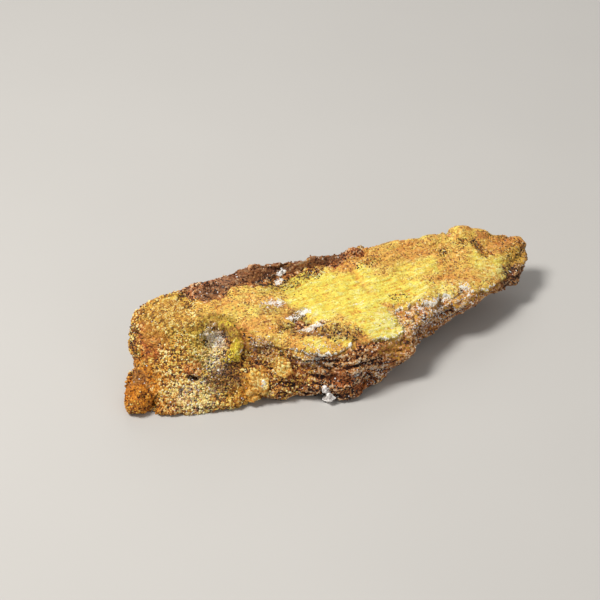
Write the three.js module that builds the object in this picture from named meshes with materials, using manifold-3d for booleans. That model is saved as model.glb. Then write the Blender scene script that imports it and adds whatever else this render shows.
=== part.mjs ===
// Campylite specimen: a wedge-shaped slab of brown, layered ironstone that carries a thin crust
// of campylite on its upper face. Millimetres, +Z up. X runs from the blunt end to the thin tip,
// Y from front to back, and the origin is the middle of the footprint, on the resting plane.

import * as THREE from "three";
import { ImprovedNoise } from "three/addons/math/ImprovedNoise.js";
import { mergeVertices } from "three/addons/utils/BufferGeometryUtils.js";
import Module from "manifold-3d";

// Driving dimensions.
const LENGTH = 87; // blunt end to thin tip
const DEPTH = 31; // front to back
const HEIGHT = 16.5; // resting plane to the highest point of the slab

// Each section of the slab, from the blunt end to the tip. "at" is its place as a share of
// LENGTH, and "lean" how far its foot stands out past its top, in millimetres. The long edges
// that it meets are [share of DEPTH, share of HEIGHT]:
// ridge, top back; ledge, foot of the ridge's step; crown, middle of the top; crest, top front;
// brow, middle of the front face; toe, its foot; heel, foot of the back face; nape, its middle.
const SECTIONS = [
  { at: 0.055, lean: 5, ridge: [0.92, 0.74], ledge: [0.88, 0.77], crown: [0.8, 0.77],
    crest: [0.72, 0.7], brow: [0.64, 0.4], toe: [0.56, 0.0], heel: [0.78, 0.0],
    nape: [0.88, 0.36] },
  { at: 0.085, lean: 4, ridge: [0.95, 0.8], ledge: [0.89, 0.83], crown: [0.8, 0.85],
    crest: [0.69, 0.81], brow: [0.55, 0.46], toe: [0.45, 0.0], heel: [0.9, 0.0],
    nape: [0.96, 0.44] },
  { at: 0.165, lean: 1.5, ridge: [0.93, 0.93], ledge: [0.85, 0.89], crown: [0.76, 0.9],
    crest: [0.6, 0.85], brow: [0.43, 0.48], toe: [0.34, 0.0], heel: [0.95, 0.0],
    nape: [1.0, 0.46] },
  { at: 0.25, lean: 0, ridge: [0.93, 0.95], ledge: [0.83, 0.86], crown: [0.66, 0.84],
    crest: [0.4, 0.76], brow: [0.29, 0.42], toe: [0.22, 0.0], heel: [0.94, 0.0],
    nape: [0.99, 0.42] },
  { at: 0.355, lean: 0, ridge: [0.92, 0.97], ledge: [0.81, 0.82], crown: [0.55, 0.75],
    crest: [0.13, 0.64], brow: [0.11, 0.34], toe: [0.1, 0.0], heel: [0.9, 0.0],
    nape: [0.97, 0.42] },
  { at: 0.45, lean: 0, ridge: [0.85, 0.93], ledge: [0.78, 0.81], crown: [0.5, 0.7],
    crest: [0.04, 0.61], brow: [-0.02, 0.33], toe: [-0.01, 0.0], heel: [0.85, 0.0],
    nape: [0.92, 0.42] },
  { at: 0.55, lean: 0, ridge: [0.84, 0.87], ledge: [0.77, 0.79], crown: [0.5, 0.68],
    crest: [0.05, 0.58], brow: [0.08, 0.33], toe: [0.19, 0.03], heel: [0.82, 0.0],
    nape: [0.89, 0.4] },
  { at: 0.665, lean: 0, ridge: [0.79, 0.79], ledge: [0.72, 0.75], crown: [0.5, 0.67],
    crest: [0.18, 0.55], brow: [0.2, 0.37], toe: [0.25, 0.13], heel: [0.78, 0.06],
    nape: [0.84, 0.42] },
  { at: 0.79, lean: 0, ridge: [0.74, 0.72], ledge: [0.68, 0.69], crown: [0.5, 0.63],
    crest: [0.23, 0.49], brow: [0.26, 0.36], toe: [0.33, 0.21], heel: [0.72, 0.17],
    nape: [0.78, 0.44] },
  { at: 0.895, lean: 0, ridge: [0.74, 0.67], ledge: [0.68, 0.65], crown: [0.54, 0.59],
    crest: [0.31, 0.45], brow: [0.3, 0.36], toe: [0.33, 0.26], heel: [0.66, 0.25],
    nape: [0.75, 0.44] },
  { at: 0.96, lean: 0, ridge: [0.66, 0.57], ledge: [0.61, 0.56], crown: [0.52, 0.53],
    crest: [0.38, 0.44], brow: [0.36, 0.38], toe: [0.39, 0.3], heel: [0.57, 0.31],
    nape: [0.63, 0.44] },
  { at: 0.993, lean: 0, ridge: [0.57, 0.51], ledge: [0.53, 0.5], crown: [0.5, 0.49],
    crest: [0.44, 0.45], brow: [0.43, 0.42], toe: [0.45, 0.37], heel: [0.51, 0.37],
    nape: [0.54, 0.43] },
];
const EDGES = ["ridge", "ledge", "crown", "crest", "brow", "toe", "heel", "nape"];
const STATIONS = 48; // sections drawn along the slab
const FACETS_PER_EDGE = 4; // points round a section, from one long edge to the next
const CORNER_ROUNDING = 0.3; // 0 keeps the long edges sharp
const END_RINGS = [0.7, 0.36]; // rings that close each end, as shares of its section
const END_BULGE = 0.5;

// Broken surface: three sizes of unevenness, each [wavelength, height] in millimetres.
const ROUGHNESS = [
  [13, 1.1],
  [6, 0.6],
  [3.2, 0.3],
];

// The sunken socket in the front of the blunt end.
const SOCKET = { at: new THREE.Vector3(-28.6, -0.2, 11.4), radius: 2.4, depth: 1.5 };

// Clear gap between the slab and every piece grown on it.
const GAP = 0.3;

// The crust's thickness, and what is left of it at the blunt end, where it thins out.
const CRUST = 0.75;
const THIN_CRUST = 0.4;
const THINNING = [-32, -20]; // x where the crust starts and stops gaining thickness

// Edge of the crust seen from above, [x, y], from the blunt end along the back and round.
const CRUST_EDGE = [
  [-36.6, 9.2], [-35.6, 12.6], [-31.2, 12.8], [-29.6, 11.4], [-29.9, 8.5], [-28.2, 8.0],
  [-26.0, 8.7], [-23.6, 8.6], [-21.4, 9.8], [-19.2, 10.6], [-16.8, 11.0], [-14.6, 10.0],
  [-12.4, 9.5], [-10.2, 9.1], [-8.2, 9.6], [-6.2, 9.3], [-3.8, 9.8], [-1.5, 9.2], [0.6, 9.5],
  [4.2, 8.8], [7.0, 9.1], [9.2, 9.8], [10.5, 12.5], [16, 13], [22, 12], [27.6, 11.5],
  [28.7, 9.5], [29.2, 7.3], [30.2, 8.4], [30.8, 11], [34, 11.5], [38, 9.5], [41.5, 6],
  [43.6, 2.5], [44.5, 0.4], [42.0, -1.6], [39.2, -2.5], [37.2, -3.6], [35.9, -5.0],
  [33.8, -6.3], [30.8, -7.5], [28.2, -8.4], [26.4, -8.7], [24.4, -8.7], [23.5, -8.3],
  [22.9, -7.1], [22.3, -7.9], [21.4, -8.4], [19.6, -8.4], [18.5, -8.2], [17.9, -7.0],
  [17.1, -8.1], [15.8, -8.9], [14.8, -8.1], [13.5, -8.2], [12.2, -8.4], [10.9, -7.3],
  [10.1, -8.3], [8.6, -7.2], [7.4, -7.8], [7.1, -9.1], [6.2, -10.3], [6.6, -11.8],
  [5.9, -13.2], [4.2, -13.7], [1.4, -13.9], [-0.4, -13.3], [-2.2, -13.8], [-3.9, -13.6],
  [-4.7, -12.2], [-6.0, -13.2], [-8.9, -13.8], [-12.2, -12.4], [-14.3, -11.1],
  [-15.7, -10.0], [-17.0, -8.6], [-19.6, -6.0], [-23.3, -3.4], [-24.3, -0.6], [-26.4, 1.5],
  [-28.4, 2.1], [-30.4, 1.7], [-33.6, 3.6], [-36.0, 6.4],
];

// Window in the crust where a flake has broken out.
const CRUST_WINDOW = [
  [-12.3, -2.5], [-11.3, -2.1], [-10.6, -2.9], [-10.4, -4.2], [-11.4, -4.0], [-12.2, -3.5],
];

// The crust ends over the edges of the top face, at a plane through this height at the origin
// that falls by the first share towards the tip and rises by the second towards the back.
const CRUST_FOOT = 8.8;
const CRUST_FALL = 0.06;
const CRUST_RISE = 0.06;

// Two small patches of crust on the front face, [x, z] seen from the front.
const TONGUE_EDGE = [
  [-23.5, 6.9], [-22.0, 6.9], [-21.1, 5.6], [-21.4, 3.8], [-22.7, 2.3], [-24.5, 1.4],
  [-26.4, 0.8], [-26.2, 2.6], [-24.9, 3.9], [-24.6, 5.5],
];
const PATCH_EDGE = [
  [-19.9, 7.7], [-18.6, 8.9], [-17.2, 8.1], [-17.0, 6.5], [-18.6, 5.5], [-20.0, 6.3],
];
const PATCH = 0.6; // their thickness

// Ring of campylite round the socket, sunk on the side of the blunt end.
const RING = { at: [-26.6, -0.3, 10.8], axis: [-0.76, -0.5, 0.42], radius: 3.2, tube: 1.15 };

// Ochre lumps at the foot of the blunt end, and grains of white druse at the foot of the front
// face and in the corner between the crust and the ridge's step.
const LUMPS = [
  { at: [-43.0, 2.4, 2.2], radii: [3.0, 3.0, 3.0], turn: 0.4 },
  { at: [-38.6, -1.6, 1.0], radii: [3.2, 1.8, 1.2], turn: -0.35 },
];
const GRAINS = [
  { at: [-11.7, -14.6, 2.5], radii: [0.6, 0.55, 0.65], turn: 0.3 },
  { at: [-11.5, -15.1, 1.2], radii: [0.75, 0.6, 0.6], turn: 1.1 },
  { at: [-12.5, -15.3, 0.6], radii: [0.6, 0.6, 0.6], turn: 2.0 },
  { at: [-8.6, 8.6, 15.4], radii: [0.7, 0.6, 0.6], turn: 0.7 },
];

const wasm = await Module();
wasm.setup();
const noise = new ImprovedNoise();

/** A point in millimetres from its shares of the driving dimensions. */
function place(along, across, up) {
  return new THREE.Vector3((along - 0.5) * LENGTH, (across - 0.5) * DEPTH, up * HEIGHT);
}

/** The slab's long edges as curves, in the order of EDGES. */
function longEdges() {
  return EDGES.map((edge) => {
    const points = SECTIONS.map((section) => {
      const [across, up] = section[edge];
      const point = place(section.at, across, up);
      point.x -= section.lean * (1 - up) ** 2;
      return point;
    });
    return new THREE.CatmullRomCurve3(points, false, "centripetal");
  });
}

/** The closed outline of the slab at a share t of the way along its edges. */
function sectionOutline(edges, t) {
  const corners = edges.map((edge) => edge.getPoint(t));
  const outline = new THREE.CatmullRomCurve3(corners, true, "catmullrom", CORNER_ROUNDING);
  const count = edges.length * FACETS_PER_EDGE;
  return Array.from({ length: count }, (_, i) => outline.getPoint(i / count));
}

/** Rings that shrink an end section to its middle, and that middle, bulging along x. */
function endRings(outline, direction) {
  const middle = new THREE.Vector3();
  outline.forEach((p) => middle.addScaledVector(p, 1 / outline.length));
  const rings = END_RINGS.map((share) =>
    outline.map((p) => {
      const q = middle.clone().lerp(p, share);
      q.x += direction * END_BULGE * (1 - share * share);
      return q;
    }),
  );
  middle.x += direction * END_BULGE;
  return { rings, middle };
}

/** The unevenness of the broken surface at a point, with the socket sunk into it. */
function unevenness(p) {
  const socket = SOCKET.depth * Math.exp(-p.distanceToSquared(SOCKET.at) / SOCKET.radius ** 2);
  return ROUGHNESS.reduce(
    (sum, [wavelength, height], i) =>
      sum + height * noise.noise(p.x / wavelength + 7 * i, p.y / wavelength, p.z / wavelength),
    -socket,
  );
}

/** The slab as a solid, with its whole surface moved out by an offset that may vary with x. */
function slab(offset) {
  const edges = longEdges();
  const outlines = Array.from({ length: STATIONS }, (_, i) =>
    sectionOutline(edges, i / (STATIONS - 1)),
  );
  const blunt = endRings(outlines[0], -1);
  const tip = endRings(outlines[STATIONS - 1], 1);
  const rings = [...blunt.rings.reverse(), ...outlines, ...tip.rings];
  const around = rings[0].length;
  const points = [...rings.flat(), blunt.middle, tip.middle];
  const faces = [];
  for (let i = 0; i + 1 < rings.length; i++) {
    for (let j = 0; j < around; j++) {
      const a = i * around + j;
      const b = i * around + ((j + 1) % around);
      faces.push(a, b, a + around, b, b + around, a + around);
    }
  }
  const last = (rings.length - 1) * around;
  for (let j = 0; j < around; j++) {
    const next = (j + 1) % around;
    faces.push(points.length - 2, next, j);
    faces.push(points.length - 1, last + j, last + next);
  }
  const geometry = new THREE.BufferGeometry().setFromPoints(points).setIndex(faces);
  geometry.computeVertexNormals();
  const normals = geometry.getAttribute("normal");
  const moved = points.map((p, i) => {
    const normal = new THREE.Vector3().fromBufferAttribute(normals, i);
    return p.clone().addScaledVector(normal, unevenness(p) + offset(p.x));
  });
  return solidOf(new THREE.BufferGeometry().setFromPoints(moved).setIndex(faces));
}

/** A closed geometry as a manifold-3d solid. */
function solidOf(geometry) {
  const bare = geometry.clone();
  bare.deleteAttribute("normal");
  bare.deleteAttribute("uv");
  const merged = mergeVertices(bare, 1e-4);
  return new wasm.Manifold(
    new wasm.Mesh({
      numProp: 3,
      vertProperties: merged.getAttribute("position").array,
      triVerts: new Uint32Array(merged.index.array),
    }),
  );
}

/** A solid's surface as a geometry. */
function geometryOf(solid) {
  const mesh = solid.getMesh();
  return new THREE.BufferGeometry()
    .setAttribute("position", new THREE.BufferAttribute(mesh.vertProperties, 3))
    .setIndex(new THREE.BufferAttribute(mesh.triVerts, 1));
}

/** A large block whose top is the resting plane. */
function groundBlock() {
  return new THREE.BoxGeometry(2 * LENGTH, 4 * DEPTH, HEIGHT).translate(0, 0, -HEIGHT / 2);
}

/** A prism on an outline, from z = 0 up. */
function prism(outline, height) {
  const shape = new THREE.Shape(outline.map(([a, b]) => new THREE.Vector2(a, b)));
  return new THREE.ExtrudeGeometry(shape, { depth: height, bevelEnabled: false });
}

/** The crust on the top face. */
function crust() {
  const thickness = (x) => {
    const share = THREE.MathUtils.smoothstep(x, ...THINNING);
    return THREE.MathUtils.lerp(THIN_CRUST, CRUST, share);
  };
  const below = groundBlock();
  below.rotateX(Math.atan(CRUST_RISE)).rotateY(Math.atan(CRUST_FALL)).translate(0, 0, CRUST_FOOT);
  return slab((x) => GAP + thickness(x))
    .intersect(solidOf(prism(CRUST_EDGE, 2 * HEIGHT)))
    .subtract(solidOf(prism(CRUST_WINDOW, 2 * HEIGHT)))
    .subtract(solidOf(below))
    .subtract(slab(() => GAP))
    .subtract(torus(RING.tube + GAP));
}

/** A patch of crust on the front face. */
function frontPatch(outline) {
  return slab(() => GAP + PATCH)
    .intersect(solidOf(prism(outline, DEPTH).rotateX(Math.PI / 2)))
    .subtract(slab(() => GAP));
}

/** The whole ring round the socket, with a given radius of tube. */
function torus(tube) {
  const turn = new THREE.Quaternion().setFromUnitVectors(
    new THREE.Vector3(0, 0, 1),
    new THREE.Vector3(...RING.axis).normalize(),
  );
  const geometry = new THREE.TorusGeometry(RING.radius, tube, 10, 36);
  return solidOf(geometry.applyQuaternion(turn).translate(...RING.at));
}

/** The part of the ring that stands out of the slab. */
function ring() {
  return torus(RING.tube).subtract(slab(() => GAP));
}

/** A rounded, uneven lump, less the part that is inside the slab or under the resting plane. */
function lump({ at, radii, turn }, detail, roughness) {
  const ball = new THREE.IcosahedronGeometry(1, detail);
  const position = ball.getAttribute("position");
  const p = new THREE.Vector3();
  for (let i = 0; i < position.count; i++) {
    p.fromBufferAttribute(position, i);
    p.multiplyScalar(1 + roughness * noise.noise(2 * p.x + at[0], 2 * p.y + at[1], 2 * p.z));
    position.setXYZ(i, p.x, p.y, p.z);
  }
  ball.scale(...radii).rotateZ(turn).translate(...at);
  return solidOf(ball)
    .subtract(slab(() => GAP))
    .subtract(solidOf(groundBlock()));
}

function part(name, solid, color, roughness) {
  const mesh = new THREE.Mesh(
    geometryOf(solid),
    new THREE.MeshStandardMaterial({ color, roughness, metalness: 0 }),
  );
  mesh.name = name;
  return mesh;
}

const specimen = new THREE.Group();
specimen.add(part("matrix", slab(() => 0).subtract(solidOf(groundBlock())), 0x7a4a2b, 0.9));
specimen.add(part("campylite_crust", crust(), 0xe0c040, 0.6));
specimen.add(part("campylite_tongue", frontPatch(TONGUE_EDGE), 0xd89a30, 0.6));
specimen.add(part("campylite_patch", frontPatch(PATCH_EDGE), 0xd8b848, 0.6));
specimen.add(part("campylite_ring", ring(), 0xb09a28, 0.5));
LUMPS.forEach((spec, i) => {
  specimen.add(part(`ochre_lump_${i + 1}`, lump(spec, 3, 0.35), 0xb8671c, 0.8));
});
GRAINS.forEach((spec, i) => {
  specimen.add(part(`white_grain_${i + 1}`, lump(spec, 1, 0.5), 0xe8e4da, 0.5));
});

// The middle of the footprint is moved to the origin.
const middle = new THREE.Box3().setFromObject(specimen).getCenter(new THREE.Vector3());
specimen.children.forEach((mesh) => mesh.geometry.translate(-middle.x, -middle.y, 0));

export default specimen;
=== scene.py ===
"""Looks of a campylite specimen.

A wedge of brown, layered ironstone carries a thin yellow crust of campylite on its upper face,
and its blunt end is grown over with small campylite barrels round a shallow socket.

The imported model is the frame: each piece here is grown from the surface of its own solid, or is
scattered over one. Surfaces are worked out in millimetres and turned into metres when they
become objects. Marks are placed in shares of the whole model's box.
"""

import logging
import math
from dataclasses import dataclass, field
from enum import Enum
from typing import Any, Callable, Mapping, Optional, Sequence, Union

import bpy
import numpy as np
from mathutils import Matrix as Transform
from mathutils import Vector
from mathutils.bvhtree import BVHTree
from mathutils.kdtree import KDTree
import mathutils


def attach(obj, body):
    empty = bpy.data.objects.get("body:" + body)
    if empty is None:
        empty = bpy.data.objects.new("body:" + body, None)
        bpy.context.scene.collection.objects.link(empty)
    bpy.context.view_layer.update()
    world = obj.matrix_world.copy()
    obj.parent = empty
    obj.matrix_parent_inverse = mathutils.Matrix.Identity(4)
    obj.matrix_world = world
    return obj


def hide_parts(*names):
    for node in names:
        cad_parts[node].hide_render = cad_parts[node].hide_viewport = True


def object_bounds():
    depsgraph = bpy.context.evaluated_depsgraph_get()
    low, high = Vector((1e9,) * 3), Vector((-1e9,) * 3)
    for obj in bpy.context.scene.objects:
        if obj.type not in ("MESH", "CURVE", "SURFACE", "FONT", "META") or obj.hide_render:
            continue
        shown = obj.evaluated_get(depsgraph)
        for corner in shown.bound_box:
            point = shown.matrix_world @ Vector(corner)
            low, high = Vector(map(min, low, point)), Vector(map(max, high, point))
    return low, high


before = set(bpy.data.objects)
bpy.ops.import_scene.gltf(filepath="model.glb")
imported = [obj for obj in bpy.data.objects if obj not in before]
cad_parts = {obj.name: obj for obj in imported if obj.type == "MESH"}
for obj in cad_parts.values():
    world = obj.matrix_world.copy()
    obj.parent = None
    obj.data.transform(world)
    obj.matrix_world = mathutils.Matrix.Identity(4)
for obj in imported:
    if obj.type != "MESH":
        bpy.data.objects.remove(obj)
CAD_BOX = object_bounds()

log = logging.getLogger("campylite")

MM = 0.001
BODY = "root"
TINY = 1e-12

Array = np.ndarray
Colour = tuple[float, float, float]
Triple = tuple[float, float, float]
Shades = tuple[tuple[float, Colour], ...]


# ---------------- numbers over a surface


def step(low: float, high: float, values: Array) -> Array:
    """A smooth step from 0 at low to 1 at high; it falls where low is above high."""
    t = np.clip((values - low) / (high - low), 0.0, 1.0)
    return t * t * (3.0 - 2.0 * t)


def blend(first: Any, second: Any, share: Array) -> Array:
    """The mix of two values at a share from 0, all first, to 1, all second."""
    return first + (second - first) * share


def unit(rows: Array) -> Array:
    """Each row at a length of one."""
    return rows / np.maximum(np.linalg.norm(rows, axis=1, keepdims=True), TINY)


class Grit:
    """Seeded noise on arrays of points."""

    SLOTS = 256
    CORNERS = np.array([(i, j, k) for i in (0, 1) for j in (0, 1) for k in (0, 1)])
    AROUND = np.array([(i, j, k) for i in (-1, 0, 1) for j in (-1, 0, 1) for k in (-1, 0, 1)])
    OCTAVE_SHIFT = 19.37
    GAIN = 1.6
    BEAD_RADIUS = 0.8

    def __init__(self, seed: int) -> None:
        """Draws the tables of directions and places.

        Args:
            seed: The seed of the random draws.
        """
        draw = np.random.default_rng(seed)
        self.order = draw.permutation(self.SLOTS)
        self.arrows = unit(draw.normal(size=(self.SLOTS, 3)))
        self.seats = draw.random((self.SLOTS, 3))
        self.lots = draw.random((self.SLOTS, 4))[:, 0]

    def _slots(self, corners: Array) -> Array:
        """Finds the table slot of each lattice corner.

        Args:
            corners: Whole numbers along x, y and z.

        Returns:
            Numbers of slots.
        """
        i, j, k = corners.T
        mask = self.SLOTS - 1
        return self.order[(self.order[(self.order[i & mask] + j) & mask] + k) & mask]

    def waves(self, points: Array, size: Any, octaves: int = 1) -> Array:
        """Smooth noise.

        Args:
            points: Places in millimetres.
            size: Wavelength in millimetres, or one for each axis.
            octaves: Layers of noise, each half the wavelength and height of the last.

        Returns:
            Values in about -1..1.
        """
        total = np.zeros(len(points))
        for octave in range(octaves):
            scaled = points * 2.0**octave / np.asarray(size, float) + self.OCTAVE_SHIFT * octave
            base = np.floor(scaled).astype(int)
            part = scaled - base
            fade = part**3 * (part * (part * 6 - 15) + 10)
            for corner in self.CORNERS:
                arrow = self.arrows[self._slots(base + corner)]
                weight = np.prod(np.where(corner, fade, 1 - fade), axis=1)
                total += ((part - corner) * arrow).sum(1) * weight * self.GAIN * 0.5**octave
        return total

    def cells(self, points: Array, size: Any) -> tuple[Array, Array, Array]:
        """The cell of a cracked pattern that each point is in.

        Args:
            points: Places in millimetres.
            size: Cell size in millimetres, or one for each axis.

        Returns:
            The distance to the cell's middle, the cell's table slot, and the way from its middle
            to the point. Distances are in cells.
        """
        scaled = points / np.asarray(size, float)
        base = np.floor(scaled).astype(int)
        near = np.full(len(points), np.inf)
        slot = np.zeros(len(points), int)
        offset = np.zeros_like(points)
        for around in self.AROUND:
            corner = base + around
            found = self._slots(corner)
            away = scaled - corner - self.seats[found]
            distance = (away**2).sum(1)
            closer = distance < near
            near = np.where(closer, distance, near)
            slot = np.where(closer, found, slot)
            offset = np.where(closer[:, None], away, offset)
        return np.sqrt(near), slot, offset

    def chips(self, points: Array, size: Any, tilt: float) -> Array:
        """Flat, tilted fracture faces, one to a cell.

        Args:
            points: Places in millimetres.
            size: Size of a face in millimetres, or one for each axis.
            tilt: How far a face rises over one cell, in millimetres.

        Returns:
            Heights in millimetres.
        """
        _, slot, offset = self.cells(points, size)
        return tilt * ((offset * self.arrows[slot]).sum(1) + self.lots[slot] - 0.5)

    def beads(self, points: Array, size: float) -> Array:
        """Rounded beads, packed side by side, with heights in 0..1."""
        near = self.cells(points, size)[0]
        return np.sqrt(np.clip(1.0 - (near / self.BEAD_RADIUS) ** 2, 0.0, 1.0))


GRIT = Grit(11)
OTHER_GRIT = Grit(29)

Layers = tuple[tuple[float, Grit, Any], ...]


def rolling(points: Array, layers: Layers) -> Array:
    """The sum of layers of noise, each with its height, its source and its wavelength."""
    return sum(height * grit.waves(points, size, 2) for height, grit, size in layers)


# ---------------- marks placed one by one

LOW, HIGH = (np.array(corner) / MM for corner in CAD_BOX)
SIZE = HIGH - LOW


def place(share: Triple) -> Array:
    """The point, in millimetres, at a share of the way along, across and up the model's box."""
    return LOW + SIZE * np.array(share)


@dataclass(frozen=True)
class Spot:
    """A rounded mark: its middle in shares of the model's box, its radius and its strength.

    stretch is how far it is drawn out along, across and up the specimen, or only along it.
    """

    at: Triple
    radius: float
    stretch: Union[float, Triple] = 1
    amount: float = 1.0

    def distance(self, points: Array) -> Array:
        """How far each point is from the middle, in radii."""
        stretch = (self.stretch, 1, 1) if np.isscalar(self.stretch) else self.stretch
        return np.linalg.norm((points - place(self.at)) / np.array(stretch), axis=1) / self.radius


@dataclass(frozen=True)
class Streak:
    """A mark along a line of points, in shares of the model's box, with a width."""

    path: tuple[Triple, ...]
    width: float
    amount: float = 1.0

    def distance(self, points: Array) -> Array:
        """Measures points against the line.

        Args:
            points: Places in millimetres.

        Returns:
            How far each is from the line, in half widths.
        """
        route = [place(at) for at in self.path]
        nearest = np.full(len(points), np.inf)
        for start, end in zip(route, route[1:]):
            run = end - start
            along = np.clip((points - start) @ run / (run @ run), 0.0, 1.0)
            gap = np.linalg.norm(points - start - along[:, None] * run, axis=1)
            nearest = np.minimum(nearest, gap)
        return nearest / (self.width / 2)


Mark = Union[Spot, Streak]
Pushes = tuple[tuple[Mark, float], ...]


class Tone(str, Enum):
    """What a mark does to the surface under it."""

    LEMON = "lemon"
    AMBER = "amber"
    RUST = "rust"
    DARK = "dark"
    WHITE = "white"
    PALE = "pale"
    GREY = "grey"
    OLIVE = "olive"
    BROWN = "brown"
    OCHRE = "ochre"
    CHALK = "chalk"
    GRAINY = "grainy"


class Stain:
    """Marks that share a tone."""

    def __init__(
        self,
        *marks: Mark,
        ragged: float = 0.5,
        grain: float = 1.6,
        soft: float = 0.8,
        bare: tuple[Mark, ...] = (),
    ) -> None:
        """Gathers the marks.

        Args:
            marks: Where the tone is.
            ragged: How far noise moves the marks' edges, in radii.
            grain: The size of that noise in millimetres.
            soft: The width of their edges, in radii.
            bare: Marks that take the tone away again.
        """
        self.marks, self.bare = marks, bare
        self.ragged, self.grain, self.soft = ragged, grain, soft

    def on(self, points: Array) -> Array:
        """Works out the tone.

        Args:
            points: Places in millimetres.

        Returns:
            Its strength at each of them, from 0 to 1.
        """
        wobble = self.ragged * GRIT.waves(points, self.grain, 3)
        strength = np.zeros(len(points))
        for mark in self.marks + self.bare:
            reach = mark.distance(points) + wobble
            found = mark.amount * step(1.0 + self.soft / 2, 1.0 - self.soft / 2, reach)
            strength = strength * (1 - found) if mark in self.bare else np.maximum(strength, found)
        return strength


# Dents and bulges: each one's place, and how far it moves the surface out, in millimetres.
PUSHES = (
    (Spot((0.56, 0.11, 0.3), 5, (1.3, 1.2, 0.9)), 2.1), (Spot((0.585, 0.09, 0.42), 4.2), 1),
    (Spot((0.48, 0.02, 0.15), 5), -2.9),
    (Streak(((0.11, 0.39, 0.04), (0.177, 0.34, 0.05), (0.205, 0.32, 0.06)), 5), 1.1),
    (Spot((0.25, 0.26, 0.06), 2.4), -0.9), (Spot((0.288, 0.24, 0.13), 3), 0.4),
    (Streak(((0.32, 0.18, 0.06), (0.37, 0.1, 0.05)), 4.4), -1.2),
    (Spot((0.04, 0.83, 0.16), 6, (1, 1, 0.9)), -2.3), (Spot((0.05, 0.82, 0.18), 2.4), -1.3),
    (Spot((0.989, 0.57, 0.57), 2.4), 0.8), (Spot((0.945, 0.65, 0.63), 2.6), -0.4),
    (Spot((0.972, 0.6, 0.6), 1.8), -0.6), (Streak(((0.27, 0.28, 0.04), (0.295, 0.22, 0.03)), 3), -0.8),
    (Spot((0.064, 0.83, 0.5), 3.2), 0.4),
    (Streak(((0.74, 0.8, 0.74), (0.8, 0.74, 0.75), (0.87, 0.71, 0.73)), 6), 0.7),
    (Spot((0.88, 0.7, 0.72), 3.6, 1.8), 0.35), (Streak(((0.635, 0.78, 0.81), (0.69, 0.74, 0.8)), 4), -0.6),
    (Spot((0.6, 0.82, 0.82), 3), 1.1), (Streak(((0.28, 0.9, 0.94), (0.345, 0.89, 0.97)), 3.6), -0.5),
    (Streak(((0.45, 0.85, 0.9), (0.55, 0.83, 0.83)), 3.6), 0.5),
    (Spot((0.94, 0.63, 0.64), 3.4, 1.5), -1.4), (Streak(((0.07, 0.92, 0.86), (0.1, 0.93, 0.9)), 3), -0.5),
    (Spot((0.16, 0.92, 0.9), 4), -0.1),
    (Streak(((0.72, 0.14, 0.4), (0.8, 0.22, 0.36), (0.86, 0.3, 0.34)), 4), -0.7),
    (Spot((0.92, 0.36, 0.35), 2.6), 0.7), (Spot((0.197, 0.52, 0.69), 2.6), -0.9),
    (Spot((0.06, 0.7, 0.06), 4, 1.2), 1), (Spot((1, 0.5, 0.5), 2.6), 0.9),
    (Streak(((0.196, 0.88, 0.94), (0.197, 0.8, 0.94), (0.188, 0.74, 0.93)), 3), -0.8),
    (Spot((0.15, 0.84, 0.95), 4.4), 0.15),
)
LUMP_PUSHES = (
    (Spot((0.009, 0.63, 0.3), 3.6), -1.3), (Spot((0.01, 0.53, 0.03), 3), 0.6),
    (Spot((0.035, 0.68, 0.1), 4), 0.8),
)
FOLD = Streak(((0.578, 0.74, 0.82), (0.569, 0.62, 0.78), (0.57, 0.46, 0.74)), 1.7)
BAND = Streak(((0.345, 0.38, 0.78), (0.39, 0.29, 0.75), (0.425, 0.22, 0.75), (0.462, 0.18, 0.73)), 2.4)
LIP = Streak(((0.335, 0.27, 0.73), (0.383, 0.18, 0.71), (0.44, 0.14, 0.7)), 3.4)
LIP_CRACK = Streak(((0.397, 0.24, 0.74), (0.401, 0.18, 0.71), (0.397, 0.12, 0.66)), 0.42)
SLOT_HOLE = Streak(((0.131, 0.47, 0.39), (0.145, 0.455, 0.355)), 1)
SOCKET = Spot((0.209, 0.53, 0.66), 2, (0.8, 1, 1.2))
SOCKET_WALL = Streak(((0.197, 0.6, 0.82), (0.186, 0.58, 0.72), (0.188, 0.55, 0.63)), 1)
RING_CRACK = Streak(((0.243, 0.49, 0.86), (0.256, 0.44, 0.78), (0.27, 0.4, 0.7)), 0.6)
BITES = (Spot((0.77, 0.27, 0.6), 1.1), Spot((0.719, 0.28, 0.6), 0.9), Spot((0.64, 0.28, 0.6), 1))
CRACKS = (
    Streak(((0.044, 0.585, 0.13), (0.052, 0.54, 0.09), (0.064, 0.47, 0.04)), 0.9),
    Streak(((0.08, 0.445, 0.07), (0.1, 0.42, 0.075), (0.115, 0.405, 0.05)), 0.9),
    Streak(((0.399, 0.1, 0.49), (0.45, 0.05, 0.46), (0.505, 0.05, 0.43)), 0.8),
    Streak(((0.335, 0.25, 0.58), (0.36, 0.18, 0.56), (0.4, 0.1, 0.55)), 0.5),
    Streak(((0.52, 0.1, 0.5), (0.6, 0.18, 0.5), (0.68, 0.22, 0.48)), 0.7),
)

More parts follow.
